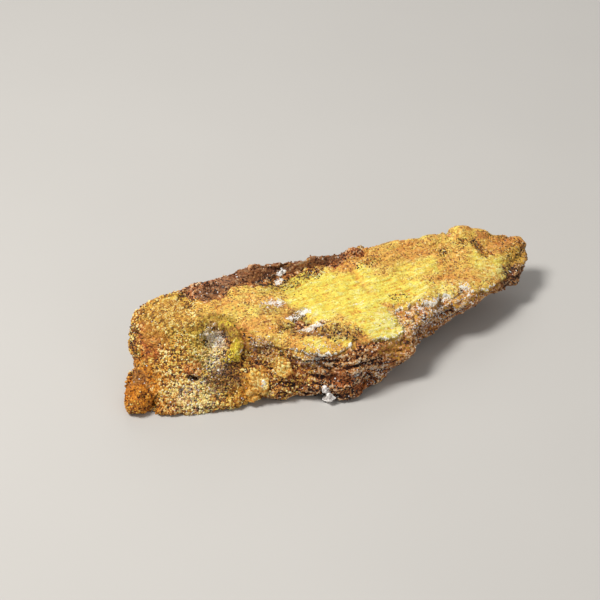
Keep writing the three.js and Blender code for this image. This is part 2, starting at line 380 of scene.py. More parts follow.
STAINS = {
    Tone.LEMON: Stain(
        Spot((0.5, 0.51, 0.74), 7.2, (1.5, 1, 3)), Spot((0.455, 0.66, 0.78), 3.9, (1.6, 1, 3)),
        Spot((0.53, 0.21, 0.66), 4.6, (1.25, 1, 3)), Spot((0.63, 0.42, 0.68), 4.2, (1.5, 1, 3), 0.8),
        Spot((0.695, 0.53, 0.73), 3.8, (1.8, 0.9, 3), 0.55),
        Spot((0.862, 0.42, 0.6), 4.2, (1.5, 1, 2), 0.5), Spot((0.867, 0.69, 0.72), 2.4, (1.5, 1, 2), 0.4),
        Spot((0.745, 0.32, 0.62), 2.2, (2.8, 0.8, 2), 0.45), Spot((0.226, 0.41, 0.62), 1.3, (0.9, 1, 1.2)),
        Spot((0.27, 0.6, 0.9), 2.6, (1.5, 0.9, 1.5), 0.3),
        Spot((0.334, 0.36, 0.77), 2.2, (1.8, 0.8, 1.5), 0.5),
        Streak(((0.35, 0.23, 0.71), (0.395, 0.17, 0.71), (0.45, 0.14, 0.7)), 3, 0.5),
        ragged=0.3, grain=3.4, soft=0.9,
    ),
    Tone.AMBER: Stain(
        LIP, Spot((0.7, 0.62, 0.76), 5, (2.4, 0.8, 3), 0.75),
        Spot((0.763, 0.48, 0.7), 3.6, (1.8, 0.8, 3), 0.8), Spot((0.93, 0.54, 0.62), 4, (1.4, 1, 3), 0.9),
        Spot((0.24, 0.66, 0.93), 4, (1.5, 0.8, 3), 0.7), Spot((0.3, 0.46, 0.84), 3.4, (1.8, 0.7, 3), 0.6),
        Spot((0.309, 0.26, 0.47), 1.8), Spot((0.25, 0.29, 0.28), 2.3, 1.2),
        Spot((0.61, 0.21, 0.59), 3.2, 1.6, 0.4),
        Streak(((0.66, 0.2, 0.52), (0.76, 0.25, 0.52), (0.85, 0.3, 0.45)), 3, 0.5),
        Spot((0.545, 0.09, 0.48), 2, 1.8, 0.5), Spot((0.345, 0.2, 0.61), 1.8, 1.8, 0.5),
        grain=2.4,
    ),
    Tone.RUST: Stain(
        Spot((0.087, 0.71, 0.7), 3.2), Spot((0.085, 0.78, 0.8), 2, amount=0.8),
        Spot((0.12, 0.78, 0.88), 4.4, 1.4, 0.34), Spot((0.91, 0.66, 0.69), 1.2, 1.6),
        Spot((0.935, 0.57, 0.63), 3, 1.3, 0.75), Spot((0.14, 0.48, 0.46), 1.4, 1.3),
        Spot((0.7, 0.66, 0.78), 3.2, (2.2, 0.8, 1.5), 0.42),
        Spot((0.794, 0.38, 0.62), 2.6, (1.7, 0.8, 1.5), 0.42),
        Spot((0.285, 0.44, 0.83), 2.8, (1.9, 0.8, 1.5), 0.5),
        Spot((0.41, 0.06, 0.33), 1.8, (1.1, 1, 1.3), 0.9), Spot((0.33, 0.2, 0.42), 1.6, 1.4, 0.6),
        Spot((0.46, 0.04, 0.14), 1.8, 1.4, 0.8), Spot((0.52, 0.08, 0.46), 2, 1.8, 0.3),
        Spot((0.593, 0.27, 0.61), 1.6, 1.2, 0.7), Spot((0.5, 0.95, 0.45), 5, 1.8, 0.5),
        Streak(((0.22, 0.85, 0.91), (0.3, 0.9, 0.95), (0.45, 0.87, 0.9), (0.57, 0.83, 0.84)), 2.4, 0.6),
        Spot((0.26, 0.98, 0.3), 3.4, 1.4, 0.6), Spot((0.6, 0.8, 0.8), 4, 2.5, 0.4),
        Streak(FOLD.path, FOLD.width, 0.35),
        soft=0.7,
    ),
    # Dark grains and specks. The marks along the socket's wall, the ring's crack, the slot hole, the
    # cracks and the notch at the back edge paint shade into those recesses; the two at the foot of the
    # front are partly dark stone and partly painted shade.
    Tone.DARK: Stain(
        Spot((0.482, 0.75, 0.81), 1.8, (1.8, 0.9, 1)), Spot((0.414, 0.72, 0.82), 1.6, (1.8, 0.9, 1), 0.7),
        Spot((0.391, 0.79, 0.8), 1.8, (2, 0.9, 1)), Spot((0.609, 0.68, 0.84), 1.6, (2, 0.9, 1), 0.5),
        Streak(((0.873, 0.61, 0.7), (0.884, 0.52, 0.61)), 2.4), Spot((0.846, 0.63, 0.73), 1, 1.6, 0.8),
        Spot((0.784, 0.61, 0.745), 1.3, 1.3, 0.7), Spot((0.619, 0.37, 0.69), 1.2, (1.7, 0.8, 1), 0.45),
        Spot((0.925, 0.37, 0.4), 2.6, 1.6, 0.8), Spot((0.96, 0.51, 0.54), 3, (1, 1.3, 1), 0.55),
        Spot((0.062, 0.84, 0.48), 4.2, amount=0.85), Spot((0.195, 0.43, 0.43), 3.4, 1.2, 0.9),
        Spot((0.2, 0.37, 0.31), 2.4, 1.3, 0.6), Spot((0.4, 0.04, 0.08), 4.6, 1.7),
        Spot((0.43, 0.03, 0.2), 1.6, 1.2, 0.8), Spot((0.68, 0.21, 0.47), 4.2, 2.6, 0.3),
        Streak(BAND.path, 3.4, 0.7), Streak(SOCKET_WALL.path, 1.5, 0.9), Streak(RING_CRACK.path, 1),
        Streak(SLOT_HOLE.path, 1.4), Spot((0.207, 0.54, 0.68), 1.8, amount=0.5),
        *(Streak(crack.path, 1.3) for crack in CRACKS), Spot((0.389, 0.46, 0.73), 1.3, 1.2, 0.8),
        Streak(((0.196, 0.87, 0.94), (0.197, 0.8, 0.94), (0.186, 0.74, 0.93)), 2, 0.9),
        Streak(((0.22, 0.85, 0.9), (0.27, 0.82, 0.89)), 1.2, 0.6), Spot((0.25, 0.85, 0.92), 3.2, 2, 0.55),
        Spot((0.575, 0.84, 0.85), 3, 1.8, 0.5),
        ragged=0.55, grain=1.2, soft=0.9,
    ),
    Tone.WHITE: Stain(
        Spot((0.358, 0.585, 0.84), 1.2, (2, 0.8, 1.2), 0.85),
        Spot((0.371, 0.455, 0.76), 0.8, (1.4, 0.8, 1.2)), Spot((0.405, 0.465, 0.78), 0.9, (1.4, 0.8, 1.2)),
        Spot((0.396, 0.325, 0.76), 1.2, (2, 0.7, 1.2)), Spot((0.522, 0.4, 0.74), 0.7, (1.8, 0.6, 1.2)),
        Streak(((0.65, 0.27, 0.6), (0.68, 0.27, 0.6), (0.719, 0.29, 0.61)), 1.2, 0.95),
        Spot((0.694, 0.24, 0.56), 0.9, 1.4, 0.9), Spot((0.773, 0.285, 0.61), 1, (0.9, 1.3, 1.2)),
        Spot((0.244, 0.4, 0.64), 0.6, amount=0.9), Spot((0.266, 0.28, 0.28), 0.8),
        Spot((0.44, 0.03, 0.36), 1.1, 1.4, 0.5), Spot((0.5, 0.07, 0.24), 1.7, 1.8, 0.46),
        Spot((0.188, 0.47, 0.5), 2.2, amount=0.3), Spot((0.28, 0.37, 0.7), 1.6, 1.6, 0.32),
        # The second mark on the next line whitens the stone just under the crust's lip with white specks
        # and small white crystals: partly white druse and partly painted light against the lip's shadow.
        Spot((0.56, 0.12, 0.55), 1.2, (2.4, 0.8, 1), 0.35), Spot((0.37, 0.17, 0.6), 2.4, 1.8, 0.35),
        Spot((0.67, 0.2, 0.48), 4, 2.6, 0.38), Spot((0.412, 0.79, 0.8), 0.8, 1.2, 0.9),
        Spot((0.123, 0.41, 0.16), 3.4, 1.2, 0.22), Spot((0.208, 0.54, 0.7), 1.8, amount=0.55),
        ragged=0.9, grain=0.9, soft=1.2,
    ),
    Tone.PALE: Stain(
        Spot((0.12, 0.41, 0.16), 4.4, (1.3, 1, 1.1), 0.6), Spot((0.545, 0.2, 0.66), 3.8, 1.3, 0.6),
        Spot((0.745, 0.31, 0.62), 2, (3.2, 0.9, 1.5), 0.34), Spot((0.869, 0.38, 0.57), 2.6, 1.3, 0.5),
        Spot((0.18, 0.5, 0.55), 3.2, (1, 1, 1.3), 0.6), Spot((0.309, 0.26, 0.47), 1.5, amount=0.7),
        Spot((0.262, 0.28, 0.29), 1.2, amount=0.8),
    ),
    Tone.GREY: Stain(
        Spot(SOCKET.at, SOCKET.radius, SOCKET.stretch, 0.7),
        Streak(((0.225, 0.86, 0.92), (0.35, 0.9, 0.92), (0.57, 0.83, 0.84)), 3, 0.1),
        ragged=0.8, soft=0.9,
    ),
    Tone.OLIVE: Stain(
        Spot((0.13, 0.74, 0.9), 5, amount=0.6), Spot((0.186, 0.6, 0.76), 3.4, amount=0.7),
        Spot((0.17, 0.5, 0.62), 3, amount=0.45), Spot((0.95, 0.46, 0.5), 3, amount=0.55),
        Spot((0.41, 0.71, 0.81), 2.6, 2, 0.6),
        Streak(((0.195, 0.58, 0.84), (0.205, 0.59, 0.87), (0.226, 0.58, 0.88), (0.245, 0.55, 0.85)), 2.2),
    ),
    Tone.BROWN: Stain(
        Spot((0.39, 0.47, 0.75), 1.7, 1.2, 0.8), Spot((0.345, 0.55, 0.82), 2, (1.8, 0.8, 1), 0.45),
        Streak(BAND.path, 3.4, 0.5),
        Streak(((0.24, 0.83, 0.9), (0.31, 0.86, 0.93), (0.4, 0.86, 0.88), (0.56, 0.83, 0.84)), 3.4),
        Spot((0.93, 0.36, 0.4), 3.4, 1.5, 0.7), Spot((0.99, 0.49, 0.48), 1.8, amount=0.9),
        Spot((0.045, 0.66, 0.24), 1.8, (1, 1, 1.5), 0.8), Spot((0.197, 0.39, 0.34), 2.8, 1.3, 0.7),
        Streak(((0.568, 0.71, 0.82), (0.562, 0.6, 0.78), (0.565, 0.47, 0.74)), 0.9, 0.5),
        Spot((0.28, 0.345, 0.66), 2.2, (1.8, 0.8, 1), 0.5),
        Streak(((0.205, 0.57, 0.86), (0.225, 0.49, 0.86), (0.24, 0.45, 0.8)), 1.7, 0.62),
        ragged=0.45, grain=1.2, soft=0.6,
    ),
    Tone.OCHRE: Stain(
        Spot((0.048, 0.64, 0.2), 4.8, (0.8, 1, 1.2)), Spot((0.06, 0.6, 0.42), 2.4, 0.8, 0.9),
        Spot((0.085, 0.44, 0.06), 2.2, (1.8, 1, 0.8), 0.8), Spot((0.24, 0.29, 0.2), 2.8, 1.2, 0.55),
    ),
    Tone.CHALK: Stain(
        Streak(((0.33, 0.23, 0.66), (0.376, 0.15, 0.64), (0.417, 0.115, 0.65), (0.442, 0.12, 0.66)), 1.8),
        Streak(((0.49, 0.13, 0.66), (0.54, 0.12, 0.62), (0.575, 0.14, 0.62)), 1.8, amount=0.4),
        Streak(((0.59, 0.3, 0.62), (0.65, 0.26, 0.6), (0.72, 0.28, 0.6)), 2.4),
        Spot((0.772, 0.28, 0.6), 1.4), Spot((0.83, 0.3, 0.55), 1.4, 2, 0.5),
        Spot((0.36, 0.58, 0.8), 1.5, amount=0.4),
        ragged=0.4, grain=1,
    ),
    Tone.GRAINY: Stain(
        Spot((0.02, 0.62, 0.5), 17, (1.1, 2, 2)), Spot((0.15, 0.4, 0.3), 9.5, 1.1),
        Spot((0.22, 1, 0.1), 4, (1.2, 1, 1.6), 0.8), Spot((0.285, 1, 0.5), 2.8, (1.2, 1, 0.8), 0.9),
        Spot((0.3, 0.28, 0.45), 5.6, (1.4, 1, 1.3), 0.42),
        ragged=0.26, grain=4.5, soft=0.35,
        bare=(
            Streak(SLOT_HOLE.path, 1.5),
            Streak(((0.232, 0.9, 0.91), (0.27, 0.86, 0.9), (0.32, 0.86, 0.9)), 6),
            Spot((0.195, 1, 0.74), 3, (1, 1, 1.2), 0.9), Spot((0.235, 1, 0.3), 2.4, amount=0.9),
            Spot((0.115, 1, 0.34), 2.6, 1.6, 0.7),
        ),
    ),
}


def stained(points: Array) -> dict[str, Array]:
    """The strength of every tone at each point, by the tone's name."""
    return {tone.value: stain.on(points) for tone, stain in STAINS.items()}


def pushed(points: Array, ways: Array, pushes: Pushes) -> Array:
    """Makes every dent and bulge.

    Args:
        points: Points of a surface.
        ways: The way that each can move.
        pushes: The dents and bulges.

    Returns:
        The moved points.
    """
    for mark, out in pushes:
        points = points + ways * (out * step(1.0, 0.15, mark.distance(points)))[:, None]
    return points


# ---------------- surfaces as arrays


def linked(name: str, data: Any) -> bpy.types.Object:
    """Makes an object and links it to the scene.

    Args:
        name: Its name.
        data: A mesh, light or camera.

    Returns:
        The object.
    """
    made = bpy.data.objects.new(name, data)
    bpy.context.scene.collection.objects.link(made)
    return made


@dataclass
class Skin:
    """A surface: points in millimetres, faces by their corners, and values at the points."""

    points: Array
    faces: Array
    fields: dict[str, Array] = field(default_factory=dict)

    @classmethod
    def of_node(cls, node: str, spacing: float, smoothing: int) -> "Skin":
        """The surface of a solid of the frame, meshed again in even quads.

        Args:
            node: The name of the solid's node.
            spacing: Distance between points in millimetres.
            smoothing: Rounds of smoothing.

        Returns:
            The new surface.
        """
        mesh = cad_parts[node].data.copy()
        mesh.transform(Transform.Scale(1 / MM, 4))
        blank = linked("blank", mesh)
        remesh = blank.modifiers.new("even", "REMESH")
        remesh.mode = "VOXEL"
        remesh.voxel_size = spacing
        graph = bpy.context.evaluated_depsgraph_get()
        even = blank.evaluated_get(graph).to_mesh()
        points = np.empty(len(even.vertices) * 3)
        even.vertices.foreach_get("co", points)
        corners = np.empty(len(even.loops), int)
        even.loops.foreach_get("vertex_index", corners)
        skin = cls(points.reshape(-1, 3), corners.reshape(len(even.polygons), -1))
        bpy.data.objects.remove(blank)
        bpy.data.meshes.remove(mesh)
        skin.smooth(smoothing)
        return skin

    def edges(self) -> tuple[Array, Array]:
        """Finds the edges.

        Returns:
            Each edge once, by its two points, and how many faces use it.
        """
        pairs = np.stack([self.faces, np.roll(self.faces, -1, axis=1)], axis=2).reshape(-1, 2)
        pairs.sort(axis=1)
        keys, uses = np.unique(pairs[:, 0] * len(self.points) + pairs[:, 1], return_counts=True)
        return np.stack(np.divmod(keys, len(self.points)), axis=1), uses

    def blurred(self, values: Array, times: int) -> Array:
        """Values at the points, averaged with their neighbours'.

        Args:
            values: One value, or a row of values, for each point.
            times: Rounds of averaging.

        Returns:
            The averaged values.
        """
        first, second = self.edges()[0].T
        rows = values.reshape(len(values), -1).astype(float)
        count = len(rows)
        shared = np.bincount(first, minlength=count) + np.bincount(second, minlength=count)
        for _ in range(times):
            sums = [
                np.bincount(first, row[second], count) + np.bincount(second, row[first], count)
                for row in rows.T
            ]
            rows = 0.5 * rows + 0.5 * np.stack(sums, axis=1) / np.maximum(shared, 1)[:, None]
        return rows.reshape(values.shape)

    def smooth(self, times: int) -> None:
        """Moves every point towards its neighbours."""
        self.points = self.blurred(self.points, times)

    def raise_by(self, ways: Array, height: Array) -> None:
        """Moves every point a height along its way, but not below the resting plane."""
        self.points = self.points + ways * height[:, None]
        self.points[:, 2] = np.maximum(self.points[:, 2], 0.0)

    def keep_hollow_shade(self, height: Array, rounds: int, depth: float, deepest: float) -> None:
        """Keeps how far each point lies below its surroundings, as a value that the finishes darken colour
        by: painted shade in recesses.

        Args:
            height: Heights at the points in millimetres.
            rounds: How widely the surroundings are averaged.
            depth: The depth that counts as 1, in millimetres.
            deepest: The largest value kept.
        """
        hollow = self.blurred(height, rounds) - height
        self.fields["hollow"] = np.clip(hollow / depth, -1.0, deepest)

    def normals(self) -> Array:
        """Works out which way the surface faces.

        Returns:
            The unit normal at each point.
        """
        corners = self.points[self.faces]
        across = np.cross(corners[:, 2] - corners[:, 0], corners[:, -1] - corners[:, 1])
        total = np.zeros_like(self.points)
        for corner in self.faces.T:
            for axis in range(3):
                total[:, axis] += np.bincount(corner, across[:, axis], len(total))
        return unit(total)

    def part(self, kept: Array) -> "Skin":
        """Cuts a part out of the surface.

        Args:
            kept: Whether each face is in it.

        Returns:
            The part, with its points and values.
        """
        faces = self.faces[kept]
        used, packed = np.unique(faces, return_inverse=True)
        fields = {name: values[used] for name, values in self.fields.items()}
        return Skin(self.points[used], packed.reshape(faces.shape), fields)

    def closed_below(self, lower: Array) -> "Skin":
        """Closes an open sheet with a second sheet under it, joined along the free edge.

        Args:
            lower: Where each point's copy in the under sheet goes.

        Returns:
            The closed skin. The under sheet keeps the values of the upper one.
        """
        edges, uses = self.edges()
        free = np.zeros(len(self.points), bool)
        free[edges[uses == 1]] = True
        under = np.where(free, np.arange(len(free)), np.cumsum(~free) - 1 + len(free))
        points = np.concatenate([self.points, lower[~free]])
        faces = np.concatenate([self.faces, under[self.faces][:, ::-1]])
        fields = {k: np.concatenate([v, v[~free]]) for k, v in self.fields.items()}
        return Skin(points, faces, fields)

    def coarsened(self, hidden: Array, cell: float) -> "Skin":
        """Merges points of a hidden stretch that lie in the same small box.

        Args:
            hidden: Whether each point is in that stretch.
            cell: Size of the boxes in millimetres.

        Returns:
            The lighter skin. A face with three corners left repeats one of them.
        """
        spots = np.flatnonzero(hidden)
        boxes = np.floor(self.points[spots] / cell).astype(int)
        _, first, group = np.unique(boxes, axis=0, return_index=True, return_inverse=True)
        target = np.arange(len(self.points))
        target[spots] = spots[first[group.ravel()]]
        faces = target[self.faces]
        folded = (faces[:, 0] == faces[:, 2]) | (faces[:, 1] == faces[:, 3])
        pinches = (faces == np.roll(faces, -1, axis=1)).sum(axis=1)
        return Skin(self.points, faces, self.fields).part(~folded & (pinches < 2))

    def keep_tones(self) -> dict[str, Array]:
        """Works out every tone at the points and keeps them as values.

        Returns:
            The tones.
        """
        tones = stained(self.points)
        self.fields.update(tones)
        return tones

    def to_object(self, name: str, smooth: bool = True) -> bpy.types.Object:
        """The skin as an object in metres, with its values as attributes.

        Args:
            name: The object's name.
            smooth: Whether its faces are shaded smoothly.

        Returns:
            The object, linked to the scene.
        """
        pinched = (self.faces == np.roll(self.faces, -1, axis=1)).any(axis=1)
        faces = self.faces[~pinched].tolist()
        faces += [list(dict.fromkeys(face)) for face in self.faces[pinched].tolist()]
        mesh = bpy.data.meshes.new(name)
        mesh.from_pydata((self.points * MM).tolist(), [], faces)
        for label, values in self.fields.items():
            attribute = mesh.attributes.new(label, "FLOAT", "POINT")
            attribute.data.foreach_set("value", values.astype(np.float32))
        mesh.polygons.foreach_set("use_smooth", np.full(len(mesh.polygons), smooth))
        mesh.update()
        return linked(name, mesh)


# ---------------- shader maths

Input = Union["Wire", float, Sequence[float]]


def math_operator(operation: str, reflected: bool = False) -> Callable[["Wire", Input], "Wire"]:
    """Makes an operator that adds a Math node.

    Args:
        operation: The node's operation.
        reflected: Whether the wire is the second value.

    Returns:
        The operator.
    """

    def operate(wire: "Wire", other: Input) -> "Wire":
        """Adds the Math node.

        Args:
            wire: The wire.
            other: The other value.

        Returns:
            The result.
        """
        first, second = (other, wire) if reflected else (wire, other)
        sockets = {0: first, 1: second}
        return wire.recipe.node("ShaderNodeMath", {"operation": operation}, sockets)

    return operate


class Wire:
    """A shader socket whose arithmetic adds Math nodes."""

    def __init__(self, recipe: "Recipe", socket: bpy.types.NodeSocket) -> None:
        """Wraps a socket of a recipe."""
        self.recipe = recipe
        self.socket = socket

    __add__, __radd__ = math_operator("ADD"), math_operator("ADD", True)
    __sub__, __rsub__ = math_operator("SUBTRACT"), math_operator("SUBTRACT", True)
    __mul__, __rmul__ = math_operator("MULTIPLY"), math_operator("MULTIPLY", True)

    def other(self, output: str) -> "Wire":
        """Another output of the same node."""
        return Wire(self.recipe, self.socket.node.outputs[output])

    def between(self, low: float, high: float) -> "Wire":
        """Steps smoothly from 0 to 1.

        Args:
            low: The value where the step starts.
            high: The value where it ends.

        Returns:
            The step.
        """
        sockets = {"Value": self, "From Min": low, "From Max": high}
        settings = {"interpolation_type": "SMOOTHSTEP"}
        return self.recipe.node("ShaderNodeMapRange", settings, sockets)


class Recipe:
    """A material's nodes."""

    def __init__(self, name: str) -> None:
        """Starts a material with an empty node tree.

        Args:
            name: The material's name.
        """
        self.material = bpy.data.materials.new(name)
        self.material.use_nodes = True
        self.tree = self.material.node_tree
        self.tree.nodes.clear()
        spot = self.node("ShaderNodeTexCoord", {}, {}, "Object")
        self.place = self.vector("MULTIPLY", spot, (1 / MM,) * 3)

    def node(
        self,
        kind: str,
        settings: Mapping[str, Any],
        sockets: Mapping[Union[str, int], Input],
        output: Union[str, int] = 0,
    ) -> Wire:
        """Adds a node.

        Args:
            kind: The node's type.
            settings: Its settings, set first. "stops" are a ramp's places and colours.
            sockets: Values or wires for its inputs, by name, identifier or number.
            output: The output to return, by name or number.

        Returns:
            A wire from that output.
        """
        made = self.tree.nodes.new(kind)
        for name, value in settings.items():
            if name == "stops":
                self._set_stops(made.color_ramp, value)
            else:
                setattr(made, name, value)
        for key, value in sockets.items():
            by_name = (s for s in made.inputs if key in (s.identifier, s.name))
            socket = made.inputs[key] if isinstance(key, int) else next(by_name)
            if isinstance(value, Wire):
                self.tree.links.new(value.socket, socket)
            else:
                socket.default_value = (*value, 1.0) if socket.type == "RGBA" else value
        return Wire(self, made.outputs[output])

    @staticmethod
    def _set_stops(ramp: bpy.types.ColorRamp, stops: Shades) -> None:
        """Gives a ramp its stops.

        Args:
            ramp: The ramp.
            stops: Places from 0 to 1, and their colours.
        """
        while len(ramp.elements) < len(stops):
            ramp.elements.new(1.0)
        for element, (position, colour) in zip(ramp.elements, stops):
            element.position = position
            element.color = (*colour, 1.0)

    def vector(self, operation: str, first: Input, second: Input) -> Wire:
        """A Vector Math node."""
        return self.node("ShaderNodeVectorMath", {"operation": operation}, {0: first, 1: second})

    def value(self, label: str) -> Wire:
        """A value kept at the mesh's points."""
        return self.node("ShaderNodeAttribute", {"attribute_name": label}, {}, "Fac")

    def mix(self, first: Input, second: Input, share: Input, how: str = "MIX") -> Wire:
        """Mixes two colours.

        Args:
            first: The colour at a share of 0.
            second: The colour at a share of 1.
            share: The share of the second.
            how: How they are laid over each other.

        Returns:
            The mix.
        """
        settings = {"data_type": "RGBA", "blend_type": how, "clamp_factor": True}
        sockets = {"Factor_Float": share, "A_Color": first, "B_Color": second}
        return self.node("ShaderNodeMix", settings, sockets, 2)

    def ramp(self, value: Input, stops: Shades) -> Wire:
        """A colour ramp."""
        return self.node("ShaderNodeValToRGB", {"stops": stops}, {"Fac": value})

    def clouds(
        self,
        size: float,
        detail: float = 3.0,
        place: Optional[Wire] = None,
        twist: float = 0.0,
        spread: float = 1.0,
    ) -> Wire:
        """Soft noise.

        Args:
            size: Its size in millimetres.
            detail: Layers of finer noise in it.
            place: Where it is read; the place on the object if left out.
            twist: How much it is drawn out of shape.
            spread: Its contrast about the middle.

        Returns:
            Values about 0.5.
        """
        sockets = {"Vector": place or self.place, "Scale": 1.0 / size, "Detail": detail}
        sockets.update({"Roughness": 0.6, "Distortion": twist})
        found = self.node("ShaderNodeTexNoise", {}, sockets, "Fac")
        return found if spread == 1.0 else (found - 0.5) * spread + 0.5

    def crumbs(self, size: float) -> tuple[Wire, Wire]:
        """Small cells of a size in millimetres.

        Args:
            size: The size of a cell.

        Returns:
            The distance to the middle of each cell, and a random value for each, in 0..1.
        """
        sockets = {"Vector": self.place, "Scale": 1.0 / size}
        near = self.node("ShaderNodeTexVoronoi", {}, sockets, "Distance")
        return near, self.node("ShaderNodeSeparateColor", {}, {0: near.other("Color")}, 0)

    def finish(
        self, colour: Input, roughness: Input, height: Wire, relief: float, gloss: float = 0.5
    ) -> bpy.types.Material:
        """Joins the colour, roughness and fine relief into the surface.

        Args:
            colour: Base colour.
            roughness: Roughness.
            height: Height of the fine relief, in units of relief.
            relief: Its depth in millimetres.
            gloss: Strength of the surface's shine.

        Returns:
            The material.
        """
        sockets = {"Height": height, "Distance": relief * MM, "Strength": 1.0}
        bump = self.node("ShaderNodeBump", {}, sockets)
        sockets = {"Base Color": colour, "Roughness": roughness, "Normal": bump}
        sockets["Specular IOR Level"] = gloss
        shader = self.node("ShaderNodeBsdfPrincipled", {}, sockets)
        end = self.tree.nodes.new("ShaderNodeOutputMaterial")
        self.tree.links.new(shader.socket, end.inputs["Surface"])
        return self.material


# ---------------- finishes

GRAIN_SHADES: Shades = (
    (0.05, (0.056, 0.02, 0.014)), (0.18, (0.22, 0.076, 0.02)), (0.36, (0.53, 0.2, 0.034)),
    (0.56, (0.74, 0.385, 0.062)), (0.76, (0.85, 0.6, 0.105)), (0.95, (0.94, 0.85, 0.42)),
)
# The palest stop gives pale specks on the stone and its crumbs: partly quartz and partly painted glints.
STONE_SHADES: Shades = (
    (0.12, (0.012, 0.005, 0.005)), (0.32, (0.108, 0.027, 0.014)), (0.5, (0.345, 0.106, 0.034)),
    (0.66, (0.61, 0.235, 0.06)), (0.82, (0.74, 0.36, 0.085)), (0.96, (0.9, 0.7, 0.46)),
)


@dataclass(frozen=True)
class Pigments:
    """Colours that the mineral's marks share."""

    ochre: Colour = (0.62, 0.205, 0.008)
    umber: Colour = (0.13, 0.038, 0.01)
    apricot: Colour = (0.84, 0.43, 0.06)
    amber: Colour = (0.8, 0.44, 0.07)
    rust: Colour = (0.64, 0.18, 0.04)
    olive: Colour = (0.44, 0.34, 0.035)
    brown: Colour = (0.21, 0.085, 0.03)
    grey: Colour = (0.8, 0.7, 0.54)
    slate: Colour = (0.13, 0.09, 0.095)
    pale: Colour = (0.92, 0.84, 0.36)
    black: Colour = (0.028, 0.013, 0.01)
    white: Colour = (0.9, 0.88, 0.83)

    def stain(self, r: Recipe, colour: Wire, lot: Wire, crumb: Wire) -> Wire:
        """Lays the marks over a colour.

        Args:
            r: The material's nodes.
            colour: The colour under the marks.
            lot: A random value for each small cell.
            crumb: A second one, for smaller cells.

        Returns:
            The stained colour.
        """
        mottle = r.clouds(0.8, 3.0, spread=2.0)
        ochre = r.mix(self.umber, self.ochre, (mottle + lot * 0.7).between(0.55, 0.95))
        ochre = r.mix(ochre, self.apricot, (lot * 0.6 + crumb * 0.5 - 0.78).between(0.0, 0.2))
        grey = r.mix(self.slate, self.grey, (lot * 0.6 + crumb * 0.6).between(0.38, 0.8))
        for tone, pigment, strength in (
            (Tone.OCHRE, ochre, 1.2),
            (Tone.RUST, self.rust, 0.75),
            (Tone.OLIVE, self.olive, 0.75),
            (Tone.BROWN, self.brown, 0.85),
            (Tone.GREY, grey, 1.0),
        ):
            share = r.value(tone) * (mottle * 0.55 + lot * 0.4 + crumb * 0.4) * strength
            shaded = r.mix(self.umber, pigment, (lot * 0.6 + crumb * 0.5).between(0.12, 0.5))
            colour = r.mix(colour, shaded, share)
        pale, dark, white = (r.value(tone) for tone in (Tone.PALE, Tone.DARK, Tone.WHITE))
        colour = r.mix(colour, self.pale, (lot + pale * 0.5 - 0.72).between(0.0, 0.2) * pale)
        # Black specks where the dark tone is: dark grains, and the painted shade of the recesses that it
        # marks.
        colour = r.mix(colour, self.black, (dark * 0.55 - crumb).between(0.0, 0.1))
        salt = (white * 0.66 + dark * 0.1 - lot * 0.5 - crumb * 0.5).between(0.0, 0.1)
        return r.mix(colour, self.white, salt)


PIGMENTS = Pigments()


@dataclass(frozen=True)
class IronstoneFinish:
    """Brown, layered limonite, with a granular yellow growth where the grainy tone is."""

    limonite: Colour = (0.42, 0.17, 0.035)

    def material(self) -> bpy.types.Material:
        """Builds the nodes.

        Returns:
            The material.
        """
        r = Recipe("ironstone")
        along = r.node("ShaderNodeSeparateXYZ", {}, {0: r.place}, "X")
        drawn = {0: along * 0.18, 1: along.other("Y") * 0.18, 2: r.value("level") * 3.0}
        laid = r.node("ShaderNodeCombineXYZ", {}, drawn)
        laminae = r.clouds(1.0, 5.0, laid, twist=0.5, spread=2.0)
        (crumbs, lot), (fine, crumb) = r.crumbs(0.44), r.crumbs(0.28)
        clouds = r.clouds(2.2, 4.0, twist=0.5, spread=2.1)
        broad = r.clouds(11.0, 3.0, spread=2.0)
        hollow, grainy = r.value("hollow"), r.value(Tone.GRAINY)
        # Painted shade: gap darkens the rims of the small cells, between the grains, and the hollow value
        # darkens low places; both darken the stone and the grainy growth.
        gap = crumbs.between(0.42, 0.68)
        grit = lot * 0.68 + crumb * 0.38 - hollow * 0.34 - gap * 0.22
        stone = r.ramp(laminae * 0.33 + clouds * 0.2 + grit - 0.185, STONE_SHADES)
        stone = r.mix(stone, self.limonite, (broad - 0.55).between(0.0, 0.3) * crumb * 0.7)
        lively = lot * 0.96 + clouds * 0.4 - hollow * 0.36 - gap * 0.24 - 0.22
        grown = r.ramp(lively, GRAIN_SHADES)
        grown = r.mix(grown, PIGMENTS.olive, (broad - 0.45).between(0.0, 0.4) * crumb * 0.7)
        colour = r.mix(stone, grown, (grainy + (crumb - 0.5) * 0.5).between(0.2, 0.7))
        amber = (r.value(Tone.AMBER) * 1.5 - lot).between(0.0, 0.5)
        colour = r.mix(colour, PIGMENTS.amber, amber * 0.8)
        colour = PIGMENTS.stain(r, colour, lot, crumb)
        height = laminae * (1.2 - grainy) - fine * 0.5 - crumbs * 0.7
        return r.finish(colour, 0.75 - lot * 0.3, height, 0.28, gloss=0.28)


